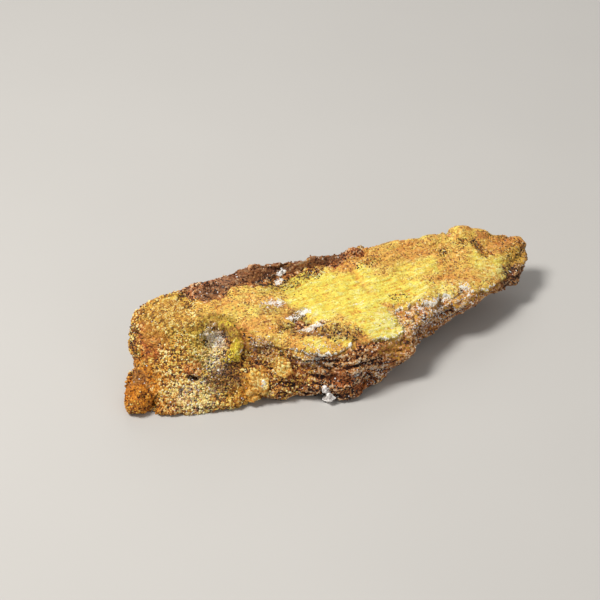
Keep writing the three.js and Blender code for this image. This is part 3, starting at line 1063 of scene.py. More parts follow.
@dataclass(frozen=True)
class CrustFinish:
    """The campylite crust: orange and granular, with a smooth lemon-yellow middle."""

    hues: Shades = (
        (0.12, (0.72, 0.29, 0.055)), (0.36, (0.86, 0.45, 0.1)),
        (0.56, (0.9, 0.6, 0.125)), (0.82, (0.92, 0.78, 0.17)),
    )
    grit: Shades = (
        (0.04, (0.12, 0.08, 0.07)), (0.18, (0.5, 0.37, 0.3)),
        (0.38, (0.95, 0.9, 0.8)), (0.8, (1.0, 1.0, 1.0)),
    )
    lemon: Shades = (
        (0.08, (0.7, 0.3, 0.04)), (0.26, (0.83, 0.56, 0.07)), (0.44, (0.85, 0.69, 0.09)),
        (0.66, (0.87, 0.8, 0.15)), (0.9, (0.91, 0.87, 0.4)),
    )
    # Painted glints on the brightest specks.
    glint_colour: Colour = (0.95, 0.92, 0.64)
    vein: Colour = (0.4, 0.15, 0.03)
    lip: Colour = (0.96, 0.93, 0.8)

    def material(self) -> bpy.types.Material:
        """Builds the nodes.

        Returns:
            The material.
        """
        r = Recipe("campylite_crust")
        (crumbs, lot), (fine, crumb) = r.crumbs(0.42), r.crumbs(0.27)
        # Painted shade: gap darkens the rims of the small cells, between the crystals, and the hollow
        # value darkens low places; both darken the specks, the lemon middle and the grainy growth.
        gap, hollow = crumbs.between(0.4, 0.7), r.value("hollow")
        broad = r.clouds(4.5, 4.0, twist=0.8, spread=2.2)
        patches = r.clouds(1.3, 4.0, twist=0.5, spread=1.6)
        drawn = r.vector("MULTIPLY", r.place, (0.34, 1.0, 1.0))
        streaks = r.clouds(1.0, 5.0, drawn, twist=1.6, spread=1.9)
        spread = r.value(Tone.LEMON) * 1.8 + (patches - 0.5) * 0.7 + (broad - 0.5) * 0.5
        smooth = (spread - r.value(Tone.RUST) * 0.7).between(0.25, 1.45)
        rough = 1 - smooth
        grown_over = r.value(Tone.DARK) * 0.7 + r.value(Tone.OLIVE) * 0.6 + r.value(Tone.BROWN) * 0.4
        sandy = (r.clouds(2.6, 3.0, spread=2.4) * 0.6 + grown_over).between(0.2, 0.9) * 0.7 + 0.26
        speck = lot * 0.66 + crumb * 0.34 - gap * 0.22 - hollow * 0.3
        hue = broad * 0.6 + patches * 0.54 + streaks * 0.34 + lot * 0.32 - 0.38
        coarse = r.mix(r.ramp(hue, self.hues), r.ramp(speck, self.grit), sandy, "MULTIPLY")
        # Painted glints: the brightest specks turn pale cream.
        coarse = r.mix(coarse, self.glint_colour, (speck - 0.8).between(0.0, 0.12) * sandy)
        coarse = r.mix(coarse, PIGMENTS.amber, r.value(Tone.AMBER) * broad * 0.5)
        sheen = streaks * 0.56 + patches * 0.52 + broad * 0.28 - hollow * 0.3
        sheen = sheen + crumb * 0.3 + lot * 0.14 - 0.4
        colour = r.mix(coarse, r.ramp(sheen, self.lemon), smooth)
        vein = r.clouds(1.5, 5.0, drawn, twist=1.2) - 0.5
        line = (vein * vein).between(0.0012, 0.0) * patches.between(0.25, 0.6)
        colour = r.mix(colour, self.vein, line * (0.4 + rough * 0.4))
        flecks = (0.17 - crumb).between(0.0, 0.05) * (0.22 + rough * 0.68)
        colour = r.mix(colour, PIGMENTS.brown, flecks)
        colour = PIGMENTS.stain(r, colour, lot, crumb)
        grown = lot * 0.84 + patches * 0.46 - hollow * 0.34 - gap * 0.26 - 0.14
        grainy = (r.value(Tone.GRAINY) + (crumb - 0.5) * 0.6).between(0.3, 0.9)
        colour = r.mix(colour, r.ramp(grown, GRAIN_SHADES), grainy * 0.68)
        # Browner on the lower part of the rim's wall: painted shade under the rim.
        colour = r.mix(colour, PIGMENTS.brown, r.value("wall") * (0.3 + lot * 0.7))
        colour = r.mix(colour, self.lip, (r.value("rim") * 1.3 - crumb * 0.7).between(0.0, 0.2))
        height = rough * sandy * (crumbs * -0.9 - fine * 0.6) + streaks * 0.8 - fine * 0.25
        return r.finish(colour, 0.65 - lot * 0.2, height, 0.22, gloss=0.3)


@dataclass(frozen=True)
class GrainFinish:
    """Small grains, each with its own tint."""

    name: str
    shades: Shades

    def material(self) -> bpy.types.Material:
        """Builds the nodes.

        Returns:
            The material.
        """
        r = Recipe(self.name)
        tint, fine = r.value("tint"), r.clouds(0.14, 2.0)
        # The dark tone darkens the grains too, which carries its painted shade in recesses.
        shift = r.value(Tone.PALE) * 0.2 - r.value(Tone.DARK) * 0.3
        colour = r.ramp(tint + shift + (fine - 0.5) * 0.2, self.shades)
        for tone, pigment, strength in (
            (Tone.RUST, PIGMENTS.rust, 0.6),
            (Tone.OCHRE, PIGMENTS.ochre, 0.85),
            (Tone.OLIVE, PIGMENTS.olive, 0.5),
            (Tone.GREY, PIGMENTS.grey, 0.35),
            (Tone.BROWN, PIGMENTS.brown, 0.85),
            (Tone.WHITE, PIGMENTS.white, 0.7),
        ):
            colour = r.mix(colour, pigment, r.value(tone) * strength)
        return r.finish(colour, 0.55 - tint * 0.1, fine, 0.03, gloss=0.3)


@dataclass(frozen=True)
class GrowthFinish:
    """A lump, ring or patch of one mineral, blotched and pitted."""

    name: str
    shades: Shades
    blotch: float = 1.3
    relief: float = 0.14
    roughness: float = 0.6
    clean: bool = False

    def material(self) -> bpy.types.Material:
        """Builds the nodes.

        Returns:
            The material.
        """
        r = Recipe(self.name)
        (crumbs, lot), (tiny, crumb) = r.crumbs(0.36), r.crumbs(0.23)
        clouds = r.clouds(self.blotch, 4.0, twist=0.5, spread=1.6)
        # The hollow value darkens low places: painted shade in recesses.
        mixed = clouds * 0.5 + lot * 0.3 + crumb * 0.12 - r.value("hollow") * 0.25
        colour = r.ramp(mixed + r.value(Tone.LEMON) * 0.3, self.shades)
        if not self.clean:
            colour = PIGMENTS.stain(r, colour, lot, crumb)
        rough = self.roughness + 0.15 - lot * 0.25
        return r.finish(colour, rough, crumbs * -0.8 - tiny * 0.4, self.relief, gloss=0.3)


RING_FINISH = GrowthFinish(
    "campylite_ring",
    (
        (0.1, (0.07, 0.035, 0.01)), (0.3, (0.28, 0.16, 0.02)), (0.5, (0.52, 0.36, 0.028)),
        (0.72, (0.76, 0.62, 0.04)), (0.95, (0.9, 0.83, 0.3)),
    ),
)
TONGUE_FINISH = GrowthFinish(
    "campylite_tongue",
    (
        (0.13, (0.26, 0.09, 0.022)), (0.3, (0.74, 0.34, 0.05)),
        (0.48, (0.88, 0.56, 0.11)), (0.7, (0.93, 0.81, 0.34)),
    ),
)
OCHRE_FINISH = GrowthFinish(
    "ochre",
    (
        (0.24, (0.04, 0.012, 0.005)), (0.4, (0.26, 0.075, 0.01)),
        (0.56, (0.58, 0.21, 0.014)), (0.8, (0.83, 0.38, 0.035)),
    ),
    roughness=0.7,
)
WHITE_FINISH = GrowthFinish(
    "white_druse",
    ((0.1, (0.48, 0.4, 0.38)), (0.35, (0.8, 0.75, 0.73)), (0.7, (0.93, 0.91, 0.89))),
    blotch=0.7,
    relief=0.06,
    roughness=0.45,
    clean=True,
)


# ---------------- sub-assemblies


class Slot(Enum):
    """The record's material slots."""

    IRONSTONE = "ironstone"
    CAMPYLITE = "campylite"
    OCHRE = "ochre"
    DRUSE = "white_druse"


def settle(piece: bpy.types.Object, material: bpy.types.Material, slot: Slot, *nodes: str) -> None:
    """Dresses a piece, rides it on the specimen, hides the solids that it replaces and logs it with its
    slot.

    Args:
        piece: The object.
        material: Its finish.
        slot: The slot that is logged beside the piece.
        nodes: The solids of the frame that it replaces.
    """
    piece.data.materials.append(material)
    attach(piece, BODY)
    if nodes:
        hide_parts(*nodes)
    faces = sum(len(face.vertices) - 2 for face in piece.data.polygons)
    log.info("%s: %d triangles, %s", piece.name, faces, slot.value)


class Slab:
    """The bare slab, and how far each point on it lies inside the crust's rim.

    Rays that look for the crust start a little inside the slab and reach a little out of it, in
    millimetres.
    """

    PROBE_BACK = 0.45
    PROBE_REACH = 1.9
    LAST_SMOOTHING = 3

    def __init__(self, spacing: float, smoothing: int) -> None:
        """Meshes the slab again.

        Args:
            spacing: Distance between points in millimetres.
            smoothing: Rounds of smoothing.
        """
        self.skin = Skin.of_node("matrix", spacing, smoothing)
        self.normals = self.skin.normals()
        self.inside, self.facing = self._measure_rim()
        self.skin.points = pushed(self.skin.points, self.normals, PUSHES)
        self.skin.smooth(self.LAST_SMOOTHING)
        self.normals = self.skin.normals()

    def _covered(self) -> Array:
        """Casts a ray out from each point at the crust's solid.

        Returns:
            Whether the solid stands over each of them.
        """
        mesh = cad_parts["campylite_crust"].data
        corners = [vertex.co / MM for vertex in mesh.vertices]
        crust = BVHTree.FromPolygons(corners, [list(face.vertices) for face in mesh.polygons])
        starts = self.skin.points - self.normals * self.PROBE_BACK
        rays = zip(starts.tolist(), self.normals.tolist())
        hits = [crust.ray_cast(Vector(start), Vector(way), self.PROBE_REACH) for start, way in rays]
        return np.array([hit[0] is not None for hit in hits])

    def _measure_rim(self) -> tuple[Array, Array]:
        """Measures each point against the crust's rim.

        Returns:
            The distance inside the rim, negative outside, and how far the way from the crust's
            middle out over the nearest rim points to the front, from -1 to 1.
        """
        covered = self._covered()
        first, second = self.skin.edges()[0].T
        crossing = covered[first] != covered[second]
        inner = np.where(covered[first], first, second)[crossing]
        outer = np.where(covered[first], second, first)[crossing]
        middles = (self.skin.points[inner] + self.skin.points[outer]) / 2
        tree = KDTree(len(middles))
        for index, point in enumerate(middles.tolist()):
            tree.insert(point, index)
        tree.balance()
        nearest, _, distance = zip(*(tree.find(point) for point in self.skin.points.tolist()))
        outward = np.array(nearest) - self.skin.points
        outward[~covered] *= -1
        return np.where(covered, distance, -np.array(distance)), -unit(outward)[:, 1]


@dataclass
class Matrix:
    """The ironstone slab: chipped faces, ledges where its layers break, and a grainy end."""

    spacing: float = 0.27
    smoothing: int = 5
    layer: float = 0.95
    dip_along: float = 0.045
    dip_across: float = 0.05
    ledge: float = 0.42
    ledge_size: Triple = (6.0, 1.0, 6.0)
    ledge_shift: float = 7.3
    chips: tuple[tuple[Any, float], ...] = (((5.5, 4.0, 3.0), 0.55), ((2.0, 1.5, 1.0), 0.22))
    roughness: float = 0.10
    bead: float = 0.85
    bead_height: float = 0.26
    slot_depth: float = 1.2
    wall_depth: float = 0.3
    crack_depth: float = 0.7
    base_wear: float = 0.45

    def build(self) -> Skin:
        """Makes the slab's piece.

        Returns:
            Its skin, for what grows on it.
        """
        slab = Slab(self.spacing, self.smoothing)
        skin = slab.skin
        tones = skin.keep_tones()
        level = self._level(skin.points)
        height = self._relief(slab, tones, level)
        skin.fields["level"] = level
        skin.fields[Tone.AMBER] = tones[Tone.AMBER] * step(-0.7, 0.0, slab.normals[:, 2])
        skin.keep_hollow_shade(height, 14, 0.12, 1.6)
        skin.raise_by(slab.normals, height)
        skin.fields["inside"] = slab.inside
        settle(skin.to_object("matrix_rock"), IronstoneFinish().material(), Slot.IRONSTONE, "matrix")
        return skin

    def _level(self, points: Array) -> Array:
        """Counts the layers, through their own waviness.

        Args:
            points: Places in millimetres.

        Returns:
            How many layers up each of them is.
        """
        height = points[:, 2] + self.dip_along * points[:, 0] - self.dip_across * points[:, 1]
        wavy = 0.9 * GRIT.waves(points, 16.0) + 0.3 * GRIT.waves(points, 5.0, 2)
        return (height + wavy) / self.layer

    def _ledges(self, points: Array, level: Array) -> Array:
        """Breaks the layers' edges.

        Args:
            points: Places in millimetres.
            level: How many layers up each of them is.

        Returns:
            How far the edges stand out.
        """
        index = np.floor(level)
        across = (
            np.stack([points[:, 0], self.ledge_shift * layer, points[:, 1]], axis=1)
            for layer in (index - 1, index)
        )
        below, above = (OTHER_GRIT.waves(place, self.ledge_size, 2) for place in across)
        return self.ledge * blend(below, above, step(0.0, 0.35, level - index))

    def _relief(self, slab: Slab, tones: dict[str, Array], level: Array) -> Array:
        """The height of the broken surface over the bare slab.

        Args:
            slab: The bare slab.
            tones: The tones at its points.
            level: The layer at its points.

        Returns:
            Heights in millimetres.
        """
        points, normals = slab.skin.points, slab.normals
        grainy = tones[Tone.GRAINY]
        stone = self._ledges(points, level) * step(0.9, 0.45, np.abs(normals[:, 2]))
        for size, tilt in self.chips:
            stone = stone + GRIT.chips(points, size, tilt) * (1 - 0.6 * grainy)
        stone = stone + self.roughness * OTHER_GRIT.waves(points, 1.1, 3)
        beads = self.bead_height * (GRIT.beads(points, self.bead) - 0.5)
        height = stone + grainy * beads * 1.4
        cuts = [(SLOT_HOLE, self.slot_depth), (SOCKET_WALL, self.wall_depth)]
        for cut, depth in cuts + [(crack, self.crack_depth) for crack in CRACKS]:
            height = height - depth * step(1.2, 0.3, cut.distance(points))
        bare = step(0.1, -1.1, slab.inside)
        height = np.where(height > 0, height * bare, height * step(0.5, -0.4, slab.inside))
        under = step(-0.55, -0.9, normals[:, 2])
        return height - under * (self.base_wear + np.abs(height) * 0.3)


@dataclass
class Crust:
    """The campylite crust: a sheet that follows the slab and breaks off at a ragged rim."""

    spacing: float = 0.18
    smoothing: int = 10
    margin: float = 0.8
    thickness: float = 0.90
    rim_thickness: float = 0.55
    thin_thickness: float = 0.36
    least: float = 0.12
    root: float = 0.6
    bead: float = 0.62
    bead_height: float = 0.15
    lump: float = 1.5
    lump_height: float = 0.13
    fold_height: float = 0.34
    band_depth: float = 0.34
    crack_depth: float = 0.35
    pit_depth: float = 0.25
    bite_depth: float = 1.2
    hidden_cell: float = 0.9
    bites: Layers = ((0.34, GRIT, 1.7), (0.18, OTHER_GRIT, 0.6))
    swell: Layers = ((0.34, GRIT, 9.0), (0.16, OTHER_GRIT, 3.4))
    flow: Layers = ((0.17, OTHER_GRIT, (9.0, 1.7, 3.0)), (0.10, GRIT, (4.0, 0.75, 2.0)))

    def build(self) -> Skin:
        """Makes the crust's piece.

        Returns:
            Its skin, for what grows on it.
        """
        slab = Slab(self.spacing, self.smoothing)
        slab.skin.fields = {"inside": slab.inside, "facing": slab.facing, "ways": slab.normals}
        sheet = slab.skin.part((slab.inside[slab.skin.faces] > -self.margin).all(axis=1))
        ways, facing, base = sheet.fields.pop("ways"), sheet.fields.pop("facing"), sheet.points
        tones = stained(base)
        along = (base[:, 0] - LOW[0]) / SIZE[0]
        sharp = step(0.20, 0.34, along) * step(0.99, 0.9, along) * step(-0.45, 0.2, facing)
        edge = self._ragged(base, sheet.fields["inside"], facing, along)
        body = self._body(base, edge, along, tones)
        height = blend(-self.root, body, step(-0.3, 0.08 + 1.5 * (1 - sharp), edge))
        sheet.keep_hollow_shade(body, 14, 0.08, 1.5)
        sheet.raise_by(ways, height)
        chalk = sheet.keep_tones()[Tone.CHALK]
        # The lower part of the rim's wall, which the finish browns: painted shade.
        wall = step(0.9, 0.4, height / body)
        brink = step(0.26, 0.04, edge + 0.25 * GRIT.waves(base, 0.9, 2)) * (1 - wall)
        sheet.fields["rim"] = brink * np.clip(chalk * 1.3 + 0.06 * sharp, 0.0, 1.0)
        sheet.fields["wall"] = wall * sharp
        sheet.fields["edge"] = edge
        closed = sheet.closed_below(base - ways * (self.root + 0.2))
        hidden = np.arange(len(closed.points)) >= len(base)
        piece = closed.coarsened(hidden, self.hidden_cell).to_object("campylite_crust_sheet")
        settle(piece, CrustFinish().material(), Slot.CAMPYLITE, "campylite_crust")
        return sheet

    def _ragged(self, points: Array, inside: Array, facing: Array, along: Array) -> Array:
        """The distance inside the broken rim, once noise has eaten into it.

        Args:
            points: Points on the slab.
            inside: Their distance inside the plain rim.
            facing: How far the rim near them faces the front.
            along: Their place along the specimen, from 0 to 1.

        Returns:
            Distances in millimetres.
        """
        bites = rolling(points, self.bites)
        for bite in BITES:
            bites = bites - self.bite_depth * step(1.3, 0.3, bite.distance(points))
        back = step(0.1, -0.6, facing) * step(0.12, 0.2, along) * step(0.72, 0.60, along)
        return inside + bites - back * (0.9 + 0.9 * OTHER_GRIT.waves(points, 3.6, 2))

    def _body(
        self, points: Array, edge: Array, along: Array, tones: dict[str, Array]
    ) -> Array:
        """The height of the crust's face over the slab, away from its rim.

        Args:
            points: Points on the slab.
            edge: Their distance inside the broken rim.
            along: Their place along the specimen, from 0 to 1.
            tones: The tones there.

        Returns:
            Heights in millimetres.
        """
        full = blend(self.thin_thickness, self.thickness, step(0.16, 0.34, along))
        height = blend(np.minimum(full, self.rim_thickness), full, step(0.0, 2.4, edge))
        rough = 1 - 0.75 * tones[Tone.LEMON]
        waves = rolling(points, self.swell) + rolling(points, self.flow)
        height = height + waves * full / self.thickness
        beads = GRIT.beads(points, self.bead) - 0.5
        lumps = OTHER_GRIT.beads(points, self.lump) - 0.5
        sandy = blend(0.35, 1.0, step(-0.2, 0.5, GRIT.waves(points, 3.0, 2) + tones[Tone.DARK]))
        height = height + (self.bead_height * beads + self.lump_height * lumps) * rough * sandy
        height = height + 0.11 * OTHER_GRIT.waves(points, 1.1, 3) * rough
        height = height + self.fold_height * self._beyond_fold(points)
        height = height - self.band_depth * step(1.3, 0.4, BAND.distance(points))
        height = height - self.crack_depth * step(1.2, 0.3, LIP_CRACK.distance(points))
        height = height - self.pit_depth * tones[Tone.DARK] * step(0.25, 0.0, beads)
        return np.maximum(height + 0.10 * tones[Tone.WHITE], self.least)

    def _beyond_fold(self, points: Array) -> Array:
        """Finds the tip's side of the fold.

        Args:
            points: Places in millimetres.

        Returns:
            1 next to the fold on that side, fading out away from it.
        """
        start, end = place(FOLD.path[0]), place(FOLD.path[-1])
        share = np.clip((points[:, 1] - end[1]) / (start[1] - end[1]), 0.0, 1.0)
        past = points[:, 0] - blend(end[0], start[0], share)
        near = step(0.0, 1.0, (points[:, 1] - end[1] + 2.5) / 4.0)
        return step(-0.9, 0.9, past) * step(7.0, 1.0, past) * near


@dataclass
class Growth:
    """A lump, ring or patch that has grown on the slab."""

    node: str
    name: str
    finish: GrowthFinish
    slot: Slot
    spacing: float
    smoothing: int = 6
    bead: float = 0.7
    bead_height: float = 0.20
    wave: float = 1.8
    wave_height: float = 0.16
    reach: float = 0.9
    rooted: float = 0.3
    facets: float = 0.0
    shift: Triple = (0.0, 0.0, 0.0)
    pushes: Pushes = ()

    def build(self, ground: BVHTree) -> Skin:
        """Makes the piece, with its foot sunk into what it stands on.

        Args:
            ground: The surface that it grows on.

        Returns:
            Its skin.
        """
        skin = Skin.of_node(self.node, self.spacing, self.smoothing)
        skin.points = pushed(skin.points + np.array(self.shift), skin.normals(), self.pushes)
        self._root(skin, ground)
        ways = skin.normals()
        beads = self.bead_height * (GRIT.beads(skin.points, self.bead) - 0.55)
        height = beads + self.wave_height * OTHER_GRIT.waves(skin.points, self.wave, 3)
        height = height + GRIT.chips(skin.points, 0.9, self.facets)
        skin.keep_hollow_shade(height, 8, 0.08, 1.5)
        skin.raise_by(ways, height)
        skin.keep_tones()
        settle(skin.to_object(self.name), self.finish.material(), self.slot, self.node)
        return skin

    def _root(self, skin: Skin, ground: BVHTree) -> None:
        """Draws the foot of the piece down into the ground, unevenly.

        Args:
            skin: The piece.
            ground: The surface that it grows on.
        """
        reaches = self.reach * (1.0 + 0.6 * GRIT.waves(skin.points, 1.3, 2))
        for index, point in enumerate(skin.points.tolist()):
            spot, way, _, distance = ground.find_nearest(Vector(point))
            depth = float(step(1.0, 0.4, np.array(distance / max(reaches[index], 0.05))))
            if depth > 0.0:
                skin.points[index] = np.array(Vector(point).lerp(spot - way * self.rooted, depth))


@dataclass(frozen=True)
class Barrel:
    """One small crystal: a barrel that points up, in units of its own size."""

    sides: int = 6
    foot: tuple[float, float] = (-0.75, 0.85)
    shoulder: tuple[float, float] = (0.65, 0.9)
    cap: float = 1.0

    def shape(self) -> Skin:
        """Makes the crystal.

        Returns:
            Its points and triangles.
        """
        n = self.sides
        points = [
            (radius * math.cos(math.tau * i / n), radius * math.sin(math.tau * i / n), height)
            for height, radius in (self.foot, self.shoulder)
            for i in range(n)
        ]
        points += [(0.0, 0.0, self.foot[0]), (0.0, 0.0, self.cap)]
        faces = []
        for a in range(n):
            b = (a + 1) % n
            faces += [(a, b, b + n), (a, b + n, a + n), (a + n, b + n, 2 * n + 1), (b, a, 2 * n)]
        return Skin(np.array(points), np.array(faces))


@dataclass
class Scatter:
    """Many small crystals over a surface, joined in one mesh.

    width is the range of their widths in millimetres, and tall that of their heights for a
    width. gap is the size of the box that holds one at most. tint turns a random value into a
    crystal's tint, by a gain and a shift.
    """

    name: str
    slot: Slot
    count: int
    width: tuple[float, float]
    tall: tuple[float, float]
    gap: float
    sunk: float
    seed: int
    tint: tuple[float, float] = (1.0, 0.0)
    lean: float = 0.5
    jitter: float = 0.15
    oval: tuple[float, float] = (0.8, 1.2)
    clump: float = 1.6
    clumping: float = 0.42
    crystal: Barrel = Barrel()

    def build(self, skin: Skin, chance: Array, material: bpy.types.Material) -> None:
        """Strews the crystals.

        Args:
            skin: The surface that they stand on.
            chance: How likely a crystal is at each of its points.
            material: Their finish.
        """
        draw = np.random.default_rng(self.seed)
        ways = skin.normals()
        order = draw.permutation(len(skin.points))
        lucky = order[draw.random(len(order)) < chance[order]]
        boxes = np.floor(skin.points[lucky] / self.gap).astype(int)
        _, first = np.unique(boxes, axis=0, return_index=True)
        chosen = lucky[np.sort(first)][: self.count]
        rows = (len(chosen), 3)
        points = skin.points[chosen] + draw.normal(size=rows) * self.gap * self.jitter
        up = unit(ways[chosen] + draw.normal(size=rows) * self.lean * 0.5)
        flat = unit(np.cross(up, draw.normal(size=rows)))
        turned = np.stack([flat, np.cross(up, flat), up], axis=2)
        wide = draw.uniform(*self.width, len(chosen)) / 2
        tall = wide * draw.uniform(*self.tall, len(chosen))
        shape = self.crystal.shape()
        sizes = np.stack([wide, wide * draw.uniform(*self.oval, len(chosen)), tall], axis=1)
        local = shape.points[None] * sizes[:, None]
        placed = np.einsum("nij,nkj->nki", turned, local) + points[:, None]
        placed -= (ways[chosen] * (tall * self.sunk)[:, None])[:, None]
        placed[..., 2] = np.maximum(placed[..., 2], 0.0)
        clumps = 0.5 + 0.75 * GRIT.waves(points, self.clump, 3)
        lots = np.clip(blend(draw.random(len(chosen)), clumps, self.clumping), 0.0, 1.0)
        gain, shift = self.tint
        values = {**stained(points), "tint": gain * lots + shift, "hollow": np.zeros(len(chosen))}
        each = len(shape.points)
        faces = shape.faces[None] + (np.arange(len(chosen)) * each)[:, None, None]
        fields = {name: np.repeat(value, each) for name, value in values.items()}
        joined = Skin(placed.reshape(-1, 3), faces.reshape(-1, 3), fields)
        settle(joined.to_object(self.name, smooth=False), material, self.slot)


@dataclass
class Grown:
    """Everything that has grown on the slab and its crust."""

    rock: Skin
    crust: Skin

    def build(self) -> None:
        """Makes the ring, patches, lumps, white grains and all the small crystals."""
        ground = BVHTree.FromPolygons(self.rock.points.tolist(), self.rock.faces.tolist())
        skins = [growth.build(ground) for growth in self._growths()]
        campylite = GrainFinish("campylite_grains", GRAIN_SHADES).material()
        self._campylite_grains(skins[:5], campylite)
        self._stone_grains()
        self._druse()

    def _growths(self) -> list[Growth]:
        """Lists the larger growths.

        Returns:
            One for each small solid of the frame.
        """
        camp = Slot.CAMPYLITE
        lump = {"smoothing": 14, "bead_height": 0.12, "wave": 2.4, "wave_height": 0.42}
        grain = {"smoothing": 1, "bead": 0.42, "bead_height": 0.05, "facets": 0.8, "wave": 0.7}
        grain.update({"wave_height": 0.08, "reach": 0.2, "rooted": 0.1})
        shifts = ((0.0, 0.5, 0.4), (0.1, 0.8, 0.5), (0.9, 1.2, 0.2), (0.0, 0.0, 0.0))
        return [
            Growth(
                "campylite_ring", "campylite_socket_ring", RING_FINISH, camp, 0.14, wave_height=0.3
            ),
            Growth("campylite_tongue", "campylite_tongue_patch", TONGUE_FINISH, camp, 0.14),
            Growth("campylite_patch", "campylite_face_patch", TONGUE_FINISH, camp, 0.13),
            *(
                Growth(
                    f"ochre_lump_{i}", f"ochre_growth_{i}", OCHRE_FINISH, Slot.OCHRE, 0.16,
                    pushes=LUMP_PUSHES, **lump,
                )
                for i in (1, 2)
            ),
            *(
                Growth(
                    f"white_grain_{i}", f"white_crystal_{i}", WHITE_FINISH, Slot.DRUSE, 0.08,
                    shift=shift, **grain,
                )
                for i, shift in enumerate(shifts, 1)
            ),
        ]

    def _campylite_grains(self, growths: Sequence[Skin], material: bpy.types.Material) -> None:
        """Strews barrels over the blunt end, finer ones on the crust, and a few on the growths.

        Args:
            growths: The ring, the patches and the lumps.
            material: Their finish.
        """
        rock, crust, camp = self.rock.fields, self.crust.fields, Slot.CAMPYLITE
        chance = rock[Tone.GRAINY] * step(0.3, -0.2, rock["inside"]) * (1 - 0.85 * rock[Tone.OCHRE])
        barrels = Scatter(
            "campylite_block_grains", camp, 7600, (0.21, 0.44), (0.9, 1.5), gap=0.30, sunk=0.3,
            seed=3, tint=(1.7, -0.38),
        )
        barrels.build(self.rock, 0.6 * chance, material)
        rough = 1 - crust[Tone.LEMON]
        chance = 0.07 * rough**2 * (1 - 0.6 * crust[Tone.AMBER])
        chance += 0.5 * crust[Tone.GRAINY] + 0.35 * crust[Tone.DARK]
        chance += 0.2 * crust[Tone.OLIVE]
        barrels = Scatter(
            "campylite_crust_grains", camp, 7600, (0.18, 0.36), (0.7, 1.2), gap=0.28, sunk=0.4,
            seed=5, tint=(1.3, -0.10),
        )
        barrels.build(self.crust, chance * step(0.2, 0.9, crust["edge"]), material)
        starts = np.cumsum([0] + [len(skin.points) for skin in growths[:-1]])
        joined = Skin(
            np.concatenate([skin.points for skin in growths]),
            np.concatenate([skin.faces + start for skin, start in zip(growths, starts)]),
        )
        barrels = Scatter(
            "campylite_growth_grains", camp, 1600, (0.18, 0.34), (0.8, 1.3), gap=0.4, sunk=0.4,
            seed=7, tint=(0.95, 0.0),
        )
        barrels.build(joined, np.full(len(joined.points), 0.16), material)

    def _stone_grains(self) -> None:
        """Crumbs of limonite and quartz on the broken sides of the slab."""
        fields = self.rock.fields
        chance = (1 - fields[Tone.GRAINY]) * step(0.2, -0.3, fields["inside"])
        crumbs = Scatter(
            "ironstone_crumbs", Slot.IRONSTONE, 4600, (0.18, 0.42), (0.7, 1.2), gap=0.42,
            sunk=0.35, seed=13, tint=(1.45, -0.25),
        )
        material = GrainFinish("ironstone_crumbs", STONE_SHADES).material()
        crumbs.build(self.rock, 0.25 * chance, material)

    def _druse(self) -> None:
        """The fine white crystals at the crust's broken places, and a few on the stone."""
        druse, crust, rock = WHITE_FINISH.material(), self.crust.fields, self.rock.fields
        broken = 0.36 * crust[Tone.WHITE] * step(-0.2, 0.2, crust["edge"]) + 0.06 * crust["rim"]
        bare = (0.30 * rock[Tone.WHITE] + 0.012) * step(0.3, -0.2, rock["inside"])
        for name, skin, chance, count, width, seed in (
            ("white_druse_crystals", self.crust, broken, 1400, (0.14, 0.26), 9),
            ("white_druse_on_stone", self.rock, bare, 1100, (0.16, 0.34), 17),
        ):
            grains = Scatter(name, Slot.DRUSE, count, width, (0.9, 1.6), 0.2, 0.4, seed, lean=1.0)
            grains.build(skin, chance, druse)


# ---------------- room


@dataclass(frozen=True)
class Lamp:
    """A square lamp: its place and side in metres, its power in watts and its colour."""

    name: str
    at: Triple
    size: float
    power: float
    colour: Colour


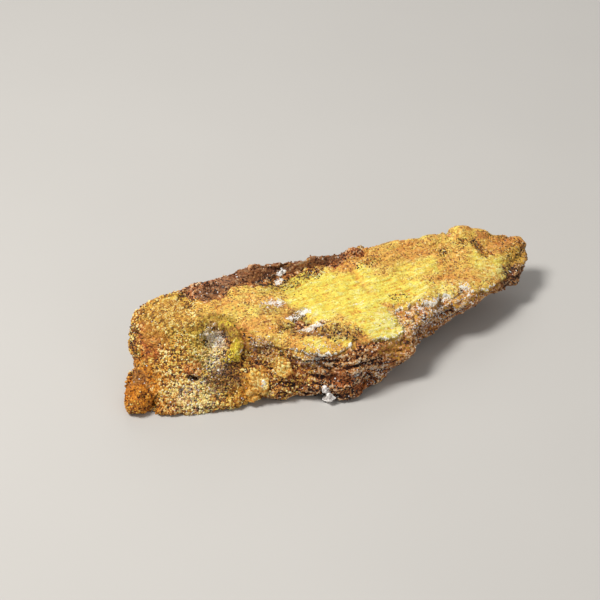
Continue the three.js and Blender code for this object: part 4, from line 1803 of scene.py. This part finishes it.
@dataclass(frozen=True)
class Studio:
    """A pale floor, soft lamps and the camera."""

    floor_half: float = 1.2
    floor_shades: tuple[Colour, Colour] = ((0.50, 0.49, 0.475), (0.53, 0.52, 0.505))
    sky: Colour = (0.95, 0.93, 0.90)
    sky_strength: float = 0.30
    lamps: tuple[Lamp, ...] = (
        Lamp("key", (-0.24, 0.06, 0.46), 0.16, 2.7, (1.0, 0.97, 0.92)),
        Lamp("fill", (0.10, -0.55, 0.28), 0.5, 0.62, (1.0, 0.97, 0.93)),
        Lamp("back", (0.25, 0.45, 0.35), 0.3, 0.6, (1.0, 0.98, 0.95)),
    )
    azimuth: float = -30.0
    elevation: float = 36.0
    distance: float = 0.390
    lens: float = 120.0
    sensor: float = 36.0
    nearest: float = 0.01
    aim: Triple = (-0.0055, 0.0058, 0.0099)

    def build(self) -> None:
        """Sets up the floor, the lamps and the camera."""
        self._floor()
        self._light()
        self._camera()
        bpy.context.scene.view_settings.view_transform = "Standard"

    def _floor(self) -> None:
        """The pale floor, a flat sheet at the resting plane."""
        half = self.floor_half
        corners = [(-half, -half, 0), (half, -half, 0), (half, half, 0), (-half, half, 0)]
        mesh = bpy.data.meshes.new("floor")
        mesh.from_pydata(corners, [], [(0, 1, 2, 3)])
        floor = linked("floor", mesh)
        recipe = Recipe("floor")
        mottled = recipe.clouds(60.0, 2.0)
        shade = recipe.mix(*self.floor_shades, mottled)
        floor.data.materials.append(recipe.finish(shade, 0.8, mottled, 0.01))

    def _light(self) -> None:
        """Even light from all round, and lamps aimed at the specimen."""
        world = bpy.data.worlds.new("sky")
        bpy.context.scene.world = world
        world.use_nodes = True
        background = world.node_tree.nodes["Background"]
        background.inputs["Color"].default_value = (*self.sky, 1.0)
        background.inputs["Strength"].default_value = self.sky_strength
        for lamp in self.lamps:
            light = bpy.data.lights.new(lamp.name, "AREA")
            light.size, light.energy, light.color = lamp.size, lamp.power, lamp.colour
            stand = linked(lamp.name, light)
            stand.location = lamp.at
            way = Vector(lamp.at) - Vector(self.aim)
            stand.rotation_euler = way.to_track_quat("Z", "Y").to_euler()

    def _camera(self) -> None:
        """The camera, at its angle round and above the specimen."""
        turn, rise = math.radians(self.azimuth), math.radians(self.elevation)
        level = math.cos(rise)
        back = Vector((math.sin(turn) * level, -math.cos(turn) * level, math.sin(rise)))
        lens = bpy.data.cameras.new("camera")
        lens.lens, lens.sensor_width, lens.clip_start = self.lens, self.sensor, self.nearest
        camera = linked("camera", lens)
        camera.location = Vector(self.aim) + back * self.distance
        camera.rotation_euler = back.to_track_quat("Z", "Y").to_euler()
        bpy.context.scene.camera = camera


def main() -> None:
    """Builds the studio and the specimen, piece by piece."""
    logging.basicConfig(level=logging.INFO, format="%(message)s")
    Studio().build()
    rock = Matrix().build()
    crust = Crust().build()
    Grown(rock, crust).build()


if __name__ == "__main__":
    main()
